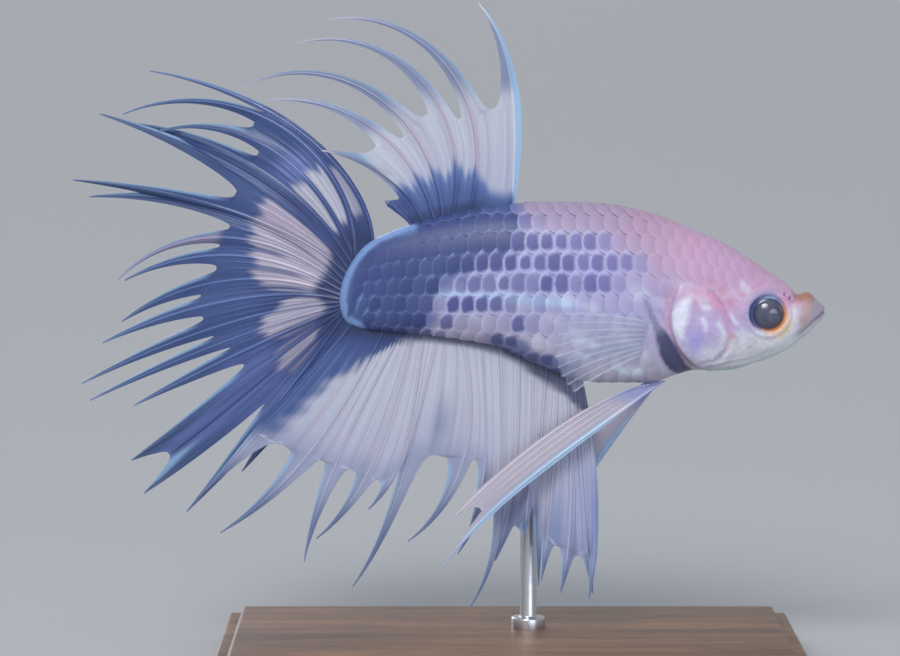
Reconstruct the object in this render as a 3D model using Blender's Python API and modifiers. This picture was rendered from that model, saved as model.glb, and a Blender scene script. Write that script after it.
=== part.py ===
"""Crowntail betta (Siamese fighting fish), a still life-size model on a plain display stand.

World frame: +Z up, origin at the centre of the base's underside, head towards +X and the fish's
right flank towards -Y.  Sizes and places are in millimetres and MM turns them into metres.
"""
import math
from collections import namedtuple

import bmesh
import bpy
from mathutils import Vector

MM = 0.001

# ---- driving sizes (mm) -----------------------------------------------------------------
SNOUT_X = 40.3          # tip of the mouth
TAIL_BASE_X = -11.3     # rear rim of the tail stalk: standard length is SNOUT_X - TAIL_BASE_X
GAP = 0.3               # clearance left between neighbouring solids
FIN_THICKNESS = 0.6
SWING_START_X = 18.0    # the body bends sideways from here back
SWING_AT_TAIL = 3.4     # sideways offset (+Y) of the tail base
SECTION_POWER = 2.2     # superellipse power of the body's cross-section, 2 is an ellipse
BODY_SIDES = 28
BODY_RINGS = 38

# Body stations: x, height of the back, height of the belly, half width.
BODY = (
    (SNOUT_X, 38.4, 38.4, 0.0),
    (39.5, 39.55, 37.1, 1.35),
    (38.2, 40.5, 35.8, 2.0),
    (37.3, 40.35, 35.2, 2.35),
    (36.4, 41.2, 34.7, 2.8),
    (33.6, 43.1, 33.1, 3.8),
    (29.6, 45.6, 32.0, 4.7),
    (25.6, 47.4, 31.8, 5.2),
    (21.6, 48.9, 30.8, 5.2),
    (15.6, 49.9, 30.8, 4.9),
    (10.6, 50.0, 32.3, 4.4),
    (5.6, 49.6, 34.5, 3.8),
    (-0.4, 48.4, 35.5, 3.0),
    (-5.4, 46.9, 35.9, 2.3),
    (-8.4, 45.3, 36.1, 1.7),
    (-10.3, 42.8, 36.7, 1.1),
    (TAIL_BASE_X, 39.2, 39.2, 0.0),
)
WIDEST = 0.5            # height of the widest line, as a share of the body's depth

EYE = (33.9, 38.4)      # eye centre, x and z
EYE_RADIUS = 2.05
EYE_DEPTH = 1.6         # half of the eyeball's size from side to side
EYE_STAND_OUT = 0.35    # how far the eyeball stands out of the head

GILL_CENTRE = (30.0, 38.1)      # the gill cover's rear edge is an arc about this point
GILL_EDGE_RADIUS = 6.4
GILL_PLATE_CENTRE = (27.3, 36.9)
GILL_PLATE_RADIUS = 4.0
GILL_PLATE_INNER_Y = 3.2        # the plate's inner face, from the head's middle
NAPE_X = 26.8                   # where head and trunk part at the back's ridge
STALK_X = -1.5                  # where trunk and tail stalk part
MOUTH_CORNER = (37.1, 36.2)
MOUTH_SLIT = (5.0, 3.3)         # from the corner forward and up, past the lips
CHIN_BACK = (35.2, 33.0)
EYE_SIDES = 18
EYE_RINGS = 10
# Cutters reach past the body to these places.
CUT_REAR = -40.0
CUT_FRONT = 60.0
CUT_LOW = 20.0
CUT_HIGH = 60.0
CUT_SIDE = 20.0

BASE_SIZE = (62.0, 38.0, 4.0)
BASE_CENTRE_X = 7.0
BASE_CORNER = 1.2
ROD_RADIUS = 1.0
ROD_PLACE = (9.0, 3.5)          # x and y of the rod
ROD_SIDES = 24

# A fin ray in side view: base is its place along the fin's root (x for the dorsal, anal and
# pelvic fins, a share of the arc for the tail fin), start and end its headings in degrees from +X
# towards +Z, bend how late it curls, length its reach, web how far the membrane behind the ray
# runs out before the notch, and width half the width of its free spike at the notch.
Ray = namedtuple("Ray", "base start end bend length web width")

CAUDAL = (
    Ray(0.00, 84, 170, 0.58, 33.0, 18.5, 0.40),
    Ray(0.05, 92, 201, 0.80, 33.5, 17.5, 0.45),
    Ray(0.11, 113, 200, 1.30, 27.5, 14.5, 0.40),
    Ray(0.17, 122, 175, 0.90, 28.5, 22.0, 0.50),
    Ray(0.24, 124, 164, 0.55, 31.2, 13.8, 0.60),
    Ray(0.31, 135, 177, 0.50, 31.0, 23.0, 0.50),
    Ray(0.38, 136, 184, 0.70, 29.0, 12.8, 0.50),
    Ray(0.45, 144, 226, 1.20, 26.0, 13.2, 0.40),
    Ray(0.52, 150, 210, 1.00, 24.0, 13.0, 0.60),
    Ray(0.59, 160, 216, 0.90, 24.5, 14.5, 0.80),
    Ray(0.65, 168, 207, 0.60, 26.2, 14.3, 0.70),
    Ray(0.71, 183, 209, 0.60, 29.5, 13.5, 0.70),
    Ray(0.77, 194, 208, 0.70, 29.0, 12.0, 0.60),
    Ray(0.82, 202, 209, 0.60, 24.5, 11.5, 0.80),
    Ray(0.87, 217, 216, 1.00, 28.0, 24.0, 0.90),
    Ray(0.91, 226, 217, 2.00, 29.0, 12.2, 0.90),
    Ray(0.96, 232, 229, 1.00, 27.0, 14.2, 1.00),
    Ray(1.00, 237, 233, 1.00, 20.8, 0.0, 0.70),
)
DORSAL = (
    Ray(7.2, 88, 130, 2.50, 21.5, 10.0, 0.80),
    Ray(2.8, 76, 190, 1.20, 29.5, 9.5, 0.55),
    Ray(1.0, 80, 196, 1.15, 29.0, 10.6, 0.50),
    Ray(-0.2, 97, 210, 1.15, 30.0, 8.9, 0.50),
    Ray(-1.2, 105, 186, 1.00, 23.0, 9.3, 0.45),
    Ray(-2.4, 118, 172, 0.90, 13.2, 2.8, 0.40),
    Ray(-3.8, 128, 150, 1.00, 3.3, 0.0, 0.35),
)
ANAL = (
    Ray(-9.3, 241, 223, 0.70, 24.0, 15.3, 0.60),
    Ray(-6.6, 243, 212, 1.60, 28.3, 15.5, 0.70),
    Ray(-4.8, 243, 260, 3.00, 26.4, 15.5, 0.60),
    Ray(-3.4, 256, 220, 2.20, 24.6, 16.0, 0.50),
    Ray(-2.2, 262, 222, 3.00, 19.6, 14.0, 0.35),
    Ray(-0.8, 257, 234, 3.00, 28.2, 12.4, 0.60),
    Ray(2.0, 280, 216, 1.50, 23.4, 12.2, 0.50),
    Ray(4.0, 274, 236, 2.50, 22.5, 16.5, 0.50),
    Ray(6.0, 272, 236, 3.00, 28.0, 17.8, 0.45),
    Ray(7.9, 270, 250, 2.00, 21.8, 17.4, 0.60),
    Ray(9.4, 270, 264, 1.00, 17.8, 14.8, 0.40),
    Ray(10.8, 265, 271, 1.00, 22.8, 17.0, 0.45),
    Ray(12.0, 269, 262, 1.00, 21.8, 17.8, 0.40),
    Ray(13.0, 273, 256, 2.50, 22.6, 18.6, 0.45),
    Ray(13.8, 273, 277, 1.00, 22.6, 18.0, 0.35),
    Ray(14.6, 280, 262, 1.20, 22.8, 0.0, 0.40),
)
PELVIC_NEAR = (
    Ray(20.6, 188, 226, 0.40, 24.5, 22.0, 0.30),
    Ray(22.3, 215, 236, 3.00, 29.5, 0.0, 0.40),
)
PELVIC_FAR = (
    Ray(21.1, 212, 232, 0.60, 15.0, 14.0, 0.30),
    Ray(22.5, 231, 240, 1.00, 19.0, 0.0, 0.35),
)
PECTORAL_RAYS = 6
PECTORAL_ROOT = ((22.9, 38.0), (21.9, 34.2))    # top and bottom of the fin's root, x and z
PECTORAL_HEADINGS = (172.0, 202.0)
PECTORAL_LENGTHS = (11.2, 9.6)
PECTORAL_FLARE = 0.22                           # sideways slope away from the flank
PECTORAL_BULGE = 0.9                            # how far the fan's margin bows out
PECTORAL_SCALLOP = 0.5                          # how far the ray tips stand past the web
PECTORAL_DROOP = 4.0                            # degrees that each ray turns down on its way
PECTORAL_TIP = 0.3                              # half width of a ray's tip
PELVIC_PLACE = 1.2                              # sideways place of each pelvic fin's root
PELVIC_SPREAD = 2.4                             # how far its tip stands out beyond that

# The tail fin's root follows the stalk's rim, from the back's part of the way round to the belly.
RIM_START = 0.855       # where it starts on the back, as a share of the snout-to-tail angle
RIM_BACK_SHARE = 0.68   # how much of the root lies on the back's half of the rim
# Steady sideways lean and ruffle of each upright fin at its tips.
DORSAL_LEAN = (-1.2, 0.5)
CAUDAL_LEAN = (2.4, 0.8)
ANAL_LEAN = (-1.0, 1.0)
RUFFLE_STEP = 2.3       # turn of the ruffle from one ray to the next, in radians
RUFFLE_START = 0.6

TIP_HALF_WIDTH = 0.22
NOTCH_POWER = 0.5       # how soon the web closes on the spike beyond the notch
WEB_ROWS = 4
SPIKE_ROWS = 5
RAY_STEPS = 40

COLOURS = {
    "skin": (0.36, 0.32, 0.45, 1.0),
    "fin": (0.16, 0.22, 0.42, 1.0),
    "eye": (0.02, 0.02, 0.04, 1.0),
    "wood": (0.42, 0.27, 0.15, 1.0),
    "metal": (0.62, 0.63, 0.65, 1.0),
}


# ---- scene and small helpers ------------------------------------------------------------
def clear_scene():
    for obj in list(bpy.data.objects):
        bpy.data.objects.remove(obj, do_unlink=True)


def new_collection(name):
    group = bpy.data.collections.new(name)
    bpy.context.scene.collection.children.link(group)
    return group


def material(name, colour, roughness, metallic=0.0):
    finish = bpy.data.materials.new(name)
    finish.use_nodes = True
    shader = finish.node_tree.nodes["Principled BSDF"]
    shader.inputs["Base Color"].default_value = colour
    shader.inputs["Roughness"].default_value = roughness
    shader.inputs["Metallic"].default_value = metallic
    return finish


def add_object(name, mesh, group, finish=None):
    obj = bpy.data.objects.new(name, mesh)
    group.objects.link(obj)
    if finish:
        mesh.materials.append(finish)
    return obj


def mesh_from(bm, name):
    """Close a mesh that was worked out in millimetres and bring it to metres."""
    bm.normal_update()
    bmesh.ops.recalc_face_normals(bm, faces=bm.faces)
    bmesh.ops.scale(bm, vec=(MM, MM, MM), verts=bm.verts)
    mesh = bpy.data.meshes.new(name)
    bm.to_mesh(mesh)
    bm.free()
    return mesh


def boolean(obj, operation, cutter):
    step = obj.modifiers.new(operation.title(), "BOOLEAN")
    step.operation = operation
    step.solver = "EXACT"
    step.object = cutter


# ---- the body's form --------------------------------------------------------------------
def station_angle(x):
    """Angle from the snout (0) to the tail base (pi) whose cosine spaces the body's length."""
    share = (x - TAIL_BASE_X) / (SNOUT_X - TAIL_BASE_X)
    return math.acos(max(-1.0, min(1.0, 2.0 * share - 1.0)))


def smooth_value(knots, values, t):
    """Cubic through the values with limited slopes, so that it never overshoots."""
    last = len(knots) - 1
    i = 0
    while i < last - 1 and t > knots[i + 1]:
        i += 1

    def chord(k):
        return (values[k + 1] - values[k]) / (knots[k + 1] - knots[k])

    def slope(k):
        if k == 0:
            return chord(0)
        if k == last:
            return chord(last - 1)
        before = chord(k - 1)
        after = chord(k)
        if before * after <= 0.0:
            return 0.0
        return 2.0 * before * after / (before + after)

    span = knots[i + 1] - knots[i]
    u = (t - knots[i]) / span
    a = values[i] * (1 + 2 * u) * (1 - u) ** 2 + values[i + 1] * u * u * (3 - 2 * u)
    b = slope(i) * u * (1 - u) ** 2 - slope(i + 1) * u * u * (1 - u)
    return a + b * span


BODY_KNOTS = [station_angle(row[0]) for row in BODY]
BODY_COLUMNS = [[row[k] for row in BODY] for k in range(4)]


def back(x):
    return smooth_value(BODY_KNOTS, BODY_COLUMNS[1], station_angle(x))


def belly(x):
    return smooth_value(BODY_KNOTS, BODY_COLUMNS[2], station_angle(x))


def half_width(x):
    return smooth_value(BODY_KNOTS, BODY_COLUMNS[3], station_angle(x))


def midline(x):
    """Sideways place of the fish's middle plane; behind the tail base it runs on straight."""
    reach = SWING_START_X - TAIL_BASE_X
    bend = SWING_AT_TAIL / reach ** 2
    inside = min(max(SWING_START_X - x, 0.0), reach)
    beyond = max(TAIL_BASE_X - x, 0.0)
    return bend * inside ** 2 + 2.0 * bend * reach * beyond


def body_point(x, turn):
    """Point of the skin at x; turn runs round the section from the back (0) by the left flank."""
    top = back(x)
    low = belly(x)
    wide = low + WIDEST * (top - low)
    up = math.cos(turn)
    out = math.sin(turn)
    power = 2.0 / SECTION_POWER
    rise = (top - wide) if up > 0 else (wide - low)
    z = wide + rise * math.copysign(abs(up) ** power, up)
    y = half_width(x) * math.copysign(abs(out) ** power, out)
    return Vector((x, midline(x) + y, z))


def flank(x, z):
    """Half width of the body at a height."""
    top = back(x)
    low = belly(x)
    wide = low + WIDEST * (top - low)
    rise = (top - wide) if z > wide else (wide - low)
    up = min(1.0, abs(z - wide) / rise)
    return half_width(x) * (1.0 - up ** SECTION_POWER) ** (1.0 / SECTION_POWER)


def underside(x, y):
    """Height of the body's lower surface above a place."""
    low = belly(x)
    wide = low + WIDEST * (back(x) - low)
    out = min(1.0, abs(y - midline(x)) / half_width(x))
    return wide - (wide - low) * (1.0 - out ** SECTION_POWER) ** (1.0 / SECTION_POWER)


def body_mesh(name):
    """A UV sphere with its poles at snout and tail base, each vertex moved onto the body."""
    bm = bmesh.new()
    bmesh.ops.create_uvsphere(bm, u_segments=BODY_SIDES, v_segments=BODY_RINGS, radius=1.0)
    for vert in bm.verts:
        share = 0.5 * (1.0 + max(-1.0, min(1.0, vert.co.z)))
        x = TAIL_BASE_X + share * (SNOUT_X - TAIL_BASE_X)
        turn = math.atan2(vert.co.y, vert.co.x)
        vert.co = body_point(x, turn)
    return mesh_from(bm, name)


# ---- cutters that part the body ---------------------------------------------------------
def prism(name, outline, y_low, y_high, group):
    """A flat outline in the XZ plane, extruded along Y, as a mesh cutter."""
    curve = bpy.data.curves.new(name, "CURVE")
    curve.dimensions = "2D"
    curve.fill_mode = "BOTH"
    curve.extrude = 0.5 * (y_high - y_low)
    line = curve.splines.new("POLY")
    line.points.add(len(outline) - 1)
    for point, (x, z) in zip(line.points, outline):
        point.co = (x, z, 0.0, 1.0)
    line.use_cyclic_u = True
    flat = bpy.data.objects.new(name + "_outline", curve)
    flat.rotation_euler = (math.radians(90.0), 0.0, 0.0)
    flat.location = (0.0, 0.5 * (y_low + y_high), 0.0)
    group.objects.link(flat)
    bpy.context.view_layer.update()
    solid = flat.evaluated_get(bpy.context.evaluated_depsgraph_get())
    mesh = bpy.data.meshes.new_from_object(solid)
    mesh.transform(flat.matrix_world)
    bm = bmesh.new()
    bm.from_mesh(mesh)
    bmesh.ops.remove_doubles(bm, verts=bm.verts, dist=1e-4)
    bpy.data.objects.remove(flat, do_unlink=True)
    return hide_cutter(add_object(name, mesh_from(bm, name), group))


def hide_cutter(cutter):
    cutter.hide_render = True
    cutter.display_type = "WIRE"
    return cutter


def arc(centre, radius, start, end, steps):
    turns = [math.radians(start + (end - start) * k / steps) for k in range(steps + 1)]
    return [(centre[0] + radius * math.cos(a), centre[1] + radius * math.sin(a)) for a in turns]


def head_region(grow):
    """Everything in front of the gill cover's rear edge and the nape."""
    edge = arc(GILL_CENTRE, GILL_EDGE_RADIUS + grow, 150.0, 262.0, 20)
    corners = [(edge[-1][0], CUT_LOW), (CUT_FRONT, CUT_LOW), (CUT_FRONT, CUT_HIGH)]
    return [(NAPE_X - grow, CUT_HIGH)] + edge + corners


def jaw_region(grow):
    """The lower jaw, from the mouth's slit back to the chin."""
    corner = Vector(MOUTH_CORNER) + Vector((-grow, grow))
    chin = Vector(CHIN_BACK) + Vector((-grow, 0.0))
    slit = corner + Vector(MOUTH_SLIT)
    line = [tuple(slit), tuple(corner), tuple(chin)]
    return line + [(chin.x, CUT_LOW), (CUT_FRONT, CUT_LOW), (CUT_FRONT, slit.y)]


def gill_plate(grow):
    return arc(GILL_PLATE_CENTRE, GILL_PLATE_RADIUS + grow, 0.0, 345.0, 23)


def upright(low_x, high_x):
    """A slice of the body between two places along its length."""
    return [(low_x, CUT_HIGH), (low_x, CUT_LOW), (high_x, CUT_LOW), (high_x, CUT_HIGH)]


# ---- flesh nodes ------------------------------------------------------------------------
def make_eyes(group, cutters, finish):
    """Two flattened eyeballs, and the sockets that they sit in."""
    sockets = []
    x, z = EYE
    y = flank(x, z) + EYE_STAND_OUT - EYE_DEPTH
    for side, sign in (("right", -1.0), ("left", 1.0)):
        for name, grow in (("eye_" + side, 0.0), ("cut_eye_" + side, GAP)):
            bm = bmesh.new()
            bmesh.ops.create_uvsphere(bm, u_segments=EYE_SIDES, v_segments=EYE_RINGS, radius=1.0)
            size = Vector((EYE_RADIUS + grow, EYE_DEPTH + grow, EYE_RADIUS + grow))
            centre = Vector((x, midline(x) + sign * y, z))
            for vert in bm.verts:
                turned = Vector((vert.co.x, vert.co.z, vert.co.y))
                vert.co = centre + turned * size
            mesh = mesh_from(bm, name)
            if grow:
                sockets.append(hide_cutter(add_object(name, mesh, cutters)))
            else:
                eye = add_object(name, mesh, group, finish)
                eye.data.shade_smooth()
    return sockets


def make_head(group, cutters, finish, sockets):
    """Head, lower jaw and the two gill covers, parted by thin cuts."""
    region = prism("cut_head", head_region(0.0), -CUT_SIDE, CUT_SIDE, cutters)
    jaw_inside = prism("cut_jaw", jaw_region(0.0), -CUT_SIDE, CUT_SIDE, cutters)
    jaw_slot = prism("cut_jaw_slot", jaw_region(GAP), -CUT_SIDE, CUT_SIDE, cutters)

    head = add_object("head", body_mesh("head"), group, finish)
    boolean(head, "INTERSECT", region)
    boolean(head, "DIFFERENCE", jaw_slot)
    for socket in sockets:
        boolean(head, "DIFFERENCE", socket)

    jaw = add_object("lower_jaw", body_mesh("lower_jaw"), group, finish)
    boolean(jaw, "INTERSECT", jaw_inside)

    for side, sign in (("right", -1.0), ("left", 1.0)):
        inner = GILL_PLATE_INNER_Y
        y_range = sorted((sign * inner, sign * CUT_SIDE))
        y_slot = sorted((sign * (inner - GAP), sign * CUT_SIDE))
        plate = prism("cut_gill_" + side, gill_plate(0.0), *y_range, cutters)
        slot = prism("cut_gill_slot_" + side, gill_plate(GAP), *y_slot, cutters)
        boolean(head, "DIFFERENCE", slot)
        cover = add_object("gill_cover_" + side, body_mesh("gill_cover"), group, finish)
        boolean(cover, "INTERSECT", region)
        boolean(cover, "INTERSECT", plate)


def make_trunk(group, cutters, finish):
    """Trunk and tail stalk, parted from the head and from each other."""
    head_slot = prism("cut_head_slot", head_region(GAP), -CUT_SIDE, CUT_SIDE, cutters)
    parting = STALK_X + GAP
    front_box = prism("cut_trunk", upright(parting, CUT_FRONT), -CUT_SIDE, CUT_SIDE, cutters)
    rear_box = prism("cut_stalk", upright(CUT_REAR, STALK_X), -CUT_SIDE, CUT_SIDE, cutters)

    trunk = add_object("trunk", body_mesh("trunk"), group, finish)
    boolean(trunk, "INTERSECT", front_box)
    boolean(trunk, "DIFFERENCE", head_slot)
    stalk = add_object("tail_stalk", body_mesh("tail_stalk"), group, finish)
    boolean(stalk, "INTERSECT", rear_box)


# ---- fins -------------------------------------------------------------------------------
def ray_path(ray, root):
    """Points of a ray in side view, evenly spaced from its root to its tip."""
    points = [Vector(root)]
    step = ray.length / RAY_STEPS
    for k in range(RAY_STEPS):
        share = ((k + 0.5) / RAY_STEPS) ** ray.bend
        heading = math.radians(ray.start + (ray.end - ray.start) * share)
        points.append(points[-1] + step * Vector((math.cos(heading), math.sin(heading))))
    return points


def along(path, share):
    """Point and sideways direction of a path at a share of its length."""
    place = min(max(share, 0.0), 1.0) * RAY_STEPS
    k = min(int(place), RAY_STEPS - 1)
    ahead = (path[k + 1] - path[k]).normalized()
    return path[k].lerp(path[k + 1], place - k), Vector((-ahead.y, ahead.x))


def median_sideways(sway, ruffle):
    """Sideways place of an upright fin: the fish's midline, a steady sway and a ruffle."""
    def place(point, index, share):
        wave = math.sin(RUFFLE_STEP * index + RUFFLE_START)
        return midline(point.x) + share * share * (sway + ruffle * wave)
    return place


def fin_mesh(name, rays, roots, sideways, spike_rows=SPIKE_ROWS):
    """A crowntail fin: one panel a ray, joined by webs up to the notches, free beyond them.

    Each panel is a grid three points wide.  Its middle column is the ray.  Its side columns
    are shared with the neighbours as far as the notch, and then close in on the spike along a
    quarter of an ellipse, which leaves a round-bottomed notch.
    """
    paths = [ray_path(ray, root) for ray, root in zip(rays, roots)]

    def spread(i, distance):
        """Ray i's point at a distance from its root, and the direction across it."""
        share = min(distance / rays[i].length, 1.0)
        point, side = along(paths[i], share)
        y = sideways(point, i, share)
        return Vector((point.x, y, point.y)), Vector((side.x, 0.0, side.y))

    def web_point(i, share):
        """Middle of the web behind ray i; share 1 is the bottom of the notch."""
        reach = share * rays[i].web
        return spread(i, reach)[0].lerp(spread(i + 1, reach)[0], 0.5)

    bm = bmesh.new()
    rows = WEB_ROWS + spike_rows
    for i, ray in enumerate(rays):
        webs = [rays[k].web for k in (i - 1, i) if 0 <= k < len(rays) - 1]
        notch = min(webs)
        made = bmesh.ops.create_grid(bm, x_segments=2, y_segments=rows, size=1.0)
        for vert in made["verts"]:
            column = round(vert.co.x)
            row = round((vert.co.y + 1.0) / 2.0 * rows)
            web = i - 1 if column < 0 else i
            has_web = column != 0 and 0 <= web < len(rays) - 1
            if row <= WEB_ROWS:
                share = row / WEB_ROWS
                point, side = spread(i, share * notch)
                if has_web:
                    point = web_point(web, share)
                else:
                    point += column * ray.width * side
            else:
                turn = 0.5 * math.pi * (row - WEB_ROWS) / spike_rows
                run = 1.0 - math.cos(turn)
                start = rays[web].web if has_web else notch
                point, side = spread(i, start + (ray.length - start) * run)
                closed = 1.0
                if has_web:
                    closed = math.sin(turn) ** NOTCH_POWER
                    reach = web_point(web, 1.0) - spread(i, start)[0]
                    point += reach * (1.0 - closed)
                narrow = TIP_HALF_WIDTH + (ray.width - TIP_HALF_WIDTH) * (1.0 - run)
                point += column * narrow * closed * side
            vert.co = point
    bmesh.ops.remove_doubles(bm, verts=bm.verts, dist=1e-3)
    return mesh_from(bm, name)


def thicken(obj):
    shell = obj.modifiers.new("Solidify", "SOLIDIFY")
    shell.thickness = FIN_THICKNESS * MM
    shell.offset = 0.0


def stalk_rim(share):
    """Point just outside the tail stalk's rear outline, from its top (0) to its bottom (1)."""
    clearance = 2.0 * GAP

    def outline(s):
        if s < RIM_BACK_SHARE:
            t = RIM_START + (1.0 - RIM_START) * s / RIM_BACK_SHARE
            height = back
        else:
            t = 1.0 - (1.0 - RIM_START) * 0.5 * (s - RIM_BACK_SHARE) / (1.0 - RIM_BACK_SHARE)
            height = belly
        x = TAIL_BASE_X + 0.5 * (1.0 + math.cos(math.pi * t)) * (SNOUT_X - TAIL_BASE_X)
        return Vector((x, height(x)))

    here = outline(share)
    ahead = (outline(min(share + 0.02, 1.0)) - outline(max(share - 0.02, 0.0))).normalized()
    return here + clearance * Vector((ahead.y, -ahead.x))


def make_median_fins(group, finish):
    dorsal_roots = [(ray.base, back(ray.base) + GAP) for ray in DORSAL]
    anal_roots = [(ray.base, belly(ray.base) - GAP) for ray in ANAL]
    caudal_roots = [stalk_rim(ray.base) for ray in CAUDAL]
    for name, rays, roots, lean in (
        ("dorsal_fin", DORSAL, dorsal_roots, DORSAL_LEAN),
        ("caudal_fin", CAUDAL, caudal_roots, CAUDAL_LEAN),
        ("anal_fin", ANAL, anal_roots, ANAL_LEAN),
    ):
        mesh = fin_mesh(name, rays, roots, median_sideways(*lean))
        thicken(add_object(name, mesh, group, finish))


def make_pelvic_fins(group, finish):
    """Two long thin blades that trail from the breast, one each side of the middle."""
    for name, rays, sign in (
        ("pelvic_fin_right", PELVIC_NEAR, -1.0),
        ("pelvic_fin_left", PELVIC_FAR, 1.0),
    ):
        roots = [(ray.base, belly(ray.base) - GAP) for ray in rays]

        def sideways(point, index, share, sign=sign):
            return midline(point.x) + sign * (PELVIC_PLACE + PELVIC_SPREAD * share)

        mesh = fin_mesh(name, rays, roots, sideways)
        thicken(add_object(name, mesh, group, finish))


def make_pectoral_fins(group, finish):
    """A small fan on each flank behind the gill cover, flaring away from the body."""
    rays = []
    roots = []
    top, bottom = Vector(PECTORAL_ROOT[0]), Vector(PECTORAL_ROOT[1])
    for k in range(PECTORAL_RAYS):
        share = k / (PECTORAL_RAYS - 1)
        heading = PECTORAL_HEADINGS[0] + share * (PECTORAL_HEADINGS[1] - PECTORAL_HEADINGS[0])
        length = PECTORAL_LENGTHS[0] + share * (PECTORAL_LENGTHS[1] - PECTORAL_LENGTHS[0])
        length += PECTORAL_BULGE * math.sin(math.pi * share)
        web = length - PECTORAL_SCALLOP
        end = heading + PECTORAL_DROOP
        rays.append(Ray(share, heading, end, 1.0, length, web, PECTORAL_TIP))
        roots.append(tuple(top.lerp(bottom, share)))
    clearance = GAP + 0.5 * FIN_THICKNESS
    for side, sign in (("right", -1.0), ("left", 1.0)):
        def sideways(point, index, share, sign=sign):
            root_x, root_z = roots[index]
            away = flank(root_x, root_z) + clearance + PECTORAL_FLARE * share * rays[index].length
            return midline(point.x) + sign * away

        mesh = fin_mesh("pectoral_fin", rays, roots, sideways, spike_rows=1)
        thicken(add_object("pectoral_fin_" + side, mesh, group, finish))


# ---- stand ------------------------------------------------------------------------------
def make_stand(group, wood, metal):
    """A flat base and one upright rod that ends just under the flank."""
    bm = bmesh.new()
    bmesh.ops.create_cube(bm, size=1.0)
    centre = Vector((BASE_CENTRE_X, 0.0, 0.5 * BASE_SIZE[2]))
    for vert in bm.verts:
        vert.co = centre + vert.co * Vector(BASE_SIZE)
    base = add_object("stand_base", mesh_from(bm, "stand_base"), group, wood)
    edges = base.modifiers.new("Bevel", "BEVEL")
    edges.width = BASE_CORNER * MM
    edges.segments = 3

    x, y = ROD_PLACE
    foot = BASE_SIZE[2] + GAP
    rim = arc((x, y), ROD_RADIUS, 0.0, 360.0, ROD_SIDES)
    top = min(underside(*place) for place in rim) - GAP
    bm = bmesh.new()
    bmesh.ops.create_cone(bm, cap_ends=True, segments=ROD_SIDES, radius1=ROD_RADIUS, radius2=ROD_RADIUS,
                          depth=top - foot)
    for vert in bm.verts:
        vert.co += Vector((x, y, 0.5 * (top + foot)))
    rod = add_object("stand_rod", mesh_from(bm, "stand_rod"), group, metal)
    rod.data.shade_smooth()
    rod.data.set_sharp_from_angle(angle=math.radians(40.0))


def main():
    clear_scene()
    fish = new_collection("betta")
    cutters = new_collection("cutters")
    skin = material("scaled_skin", COLOURS["skin"], 0.4)
    fin = material("fin_membrane", COLOURS["fin"], 0.45)
    eye = material("eyeball", COLOURS["eye"], 0.1)
    wood = material("oiled_wood", COLOURS["wood"], 0.5)
    metal = material("satin_steel", COLOURS["metal"], 0.3, 1.0)

    sockets = make_eyes(fish, cutters, eye)
    make_head(fish, cutters, skin, sockets)
    make_trunk(fish, cutters, skin)
    make_median_fins(fish, fin)
    make_pelvic_fins(fish, fin)
    make_pectoral_fins(fish, fin)
    make_stand(fish, wood, metal)


main()
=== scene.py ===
# %% [markdown]
# # A crowntail betta on a display stand
# This lesson models a small tropical fish in detail around a packed, simpler model of it.  The
# imported model gives every place and size, so a new piece never has to be fitted by eye.

# %% Load the frame
import math
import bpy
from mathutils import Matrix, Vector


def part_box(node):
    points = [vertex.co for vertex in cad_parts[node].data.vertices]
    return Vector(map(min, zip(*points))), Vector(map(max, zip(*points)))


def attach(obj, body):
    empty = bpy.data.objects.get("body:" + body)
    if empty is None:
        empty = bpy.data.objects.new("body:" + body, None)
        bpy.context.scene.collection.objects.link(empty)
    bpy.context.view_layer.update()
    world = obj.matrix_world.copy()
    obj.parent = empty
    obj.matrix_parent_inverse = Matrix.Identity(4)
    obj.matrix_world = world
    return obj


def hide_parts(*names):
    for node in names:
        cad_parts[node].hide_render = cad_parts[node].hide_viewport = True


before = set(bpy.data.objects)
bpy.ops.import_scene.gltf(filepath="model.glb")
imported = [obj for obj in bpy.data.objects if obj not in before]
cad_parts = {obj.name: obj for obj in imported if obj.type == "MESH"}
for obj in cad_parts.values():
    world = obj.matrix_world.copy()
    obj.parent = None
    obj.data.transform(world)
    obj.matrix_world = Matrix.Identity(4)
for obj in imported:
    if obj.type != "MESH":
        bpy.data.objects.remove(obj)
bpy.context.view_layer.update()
from types import SimpleNamespace

import bpy
import numpy as np
from mathutils import Vector

print("packed nodes:", ", ".join(sorted(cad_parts)))

# %% [markdown]
# ## Small helpers
# Sizes are given in millimetres and turned to metres when a mesh is written.  Colours are given
# as the sRGB hex values that a paint chart shows, and one function turns them linear for the
# shaders.  One function adds a shader node, sets it up and links it.

# %% Sizes and colours
MM = 0.001


def linear(code):
    """Linear red, green and blue of an sRGB hex colour."""
    parts = np.array([int(code[k:k + 2], 16) / 255.0 for k in (1, 3, 5)])
    return np.where(parts <= 0.04045, parts / 12.92, ((parts + 0.055) / 1.055) ** 2.4)


def opaque(code):
    """A hex colour as a shader socket takes it."""
    return (*linear(code), 1.0)


print("middle grey #808080 is %.3f in a shader" % linear("#808080")[0])


# %% Soft edges and washes
def smooth(value, low, high):
    """0 at low, 1 at high and an S-curve between; low may be the larger."""
    u = np.clip((np.asarray(value, dtype=float) - low) / (high - low), 0.0, 1.0)
    return u * u * (3.0 - 2.0 * u)


def hump(distance, width):
    """A smooth rise of height 1 at distance 0."""
    return np.exp(-(np.asarray(distance) / width) ** 2)


def lay(base, colour, mask):
    """Lays a colour over another through a mask."""
    return base + (colour - base) * np.asarray(mask)[..., None]


class Washes:
    """Colours of one palette, laid over one another through masks."""

    def __init__(self, palette, ink, places):
        self.palette = palette
        self.colour = palette[ink] + np.zeros(np.shape(places) + (1,))

    def lay(self, ink, mask):
        self.colour = lay(self.colour, self.palette[ink], mask)


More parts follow.
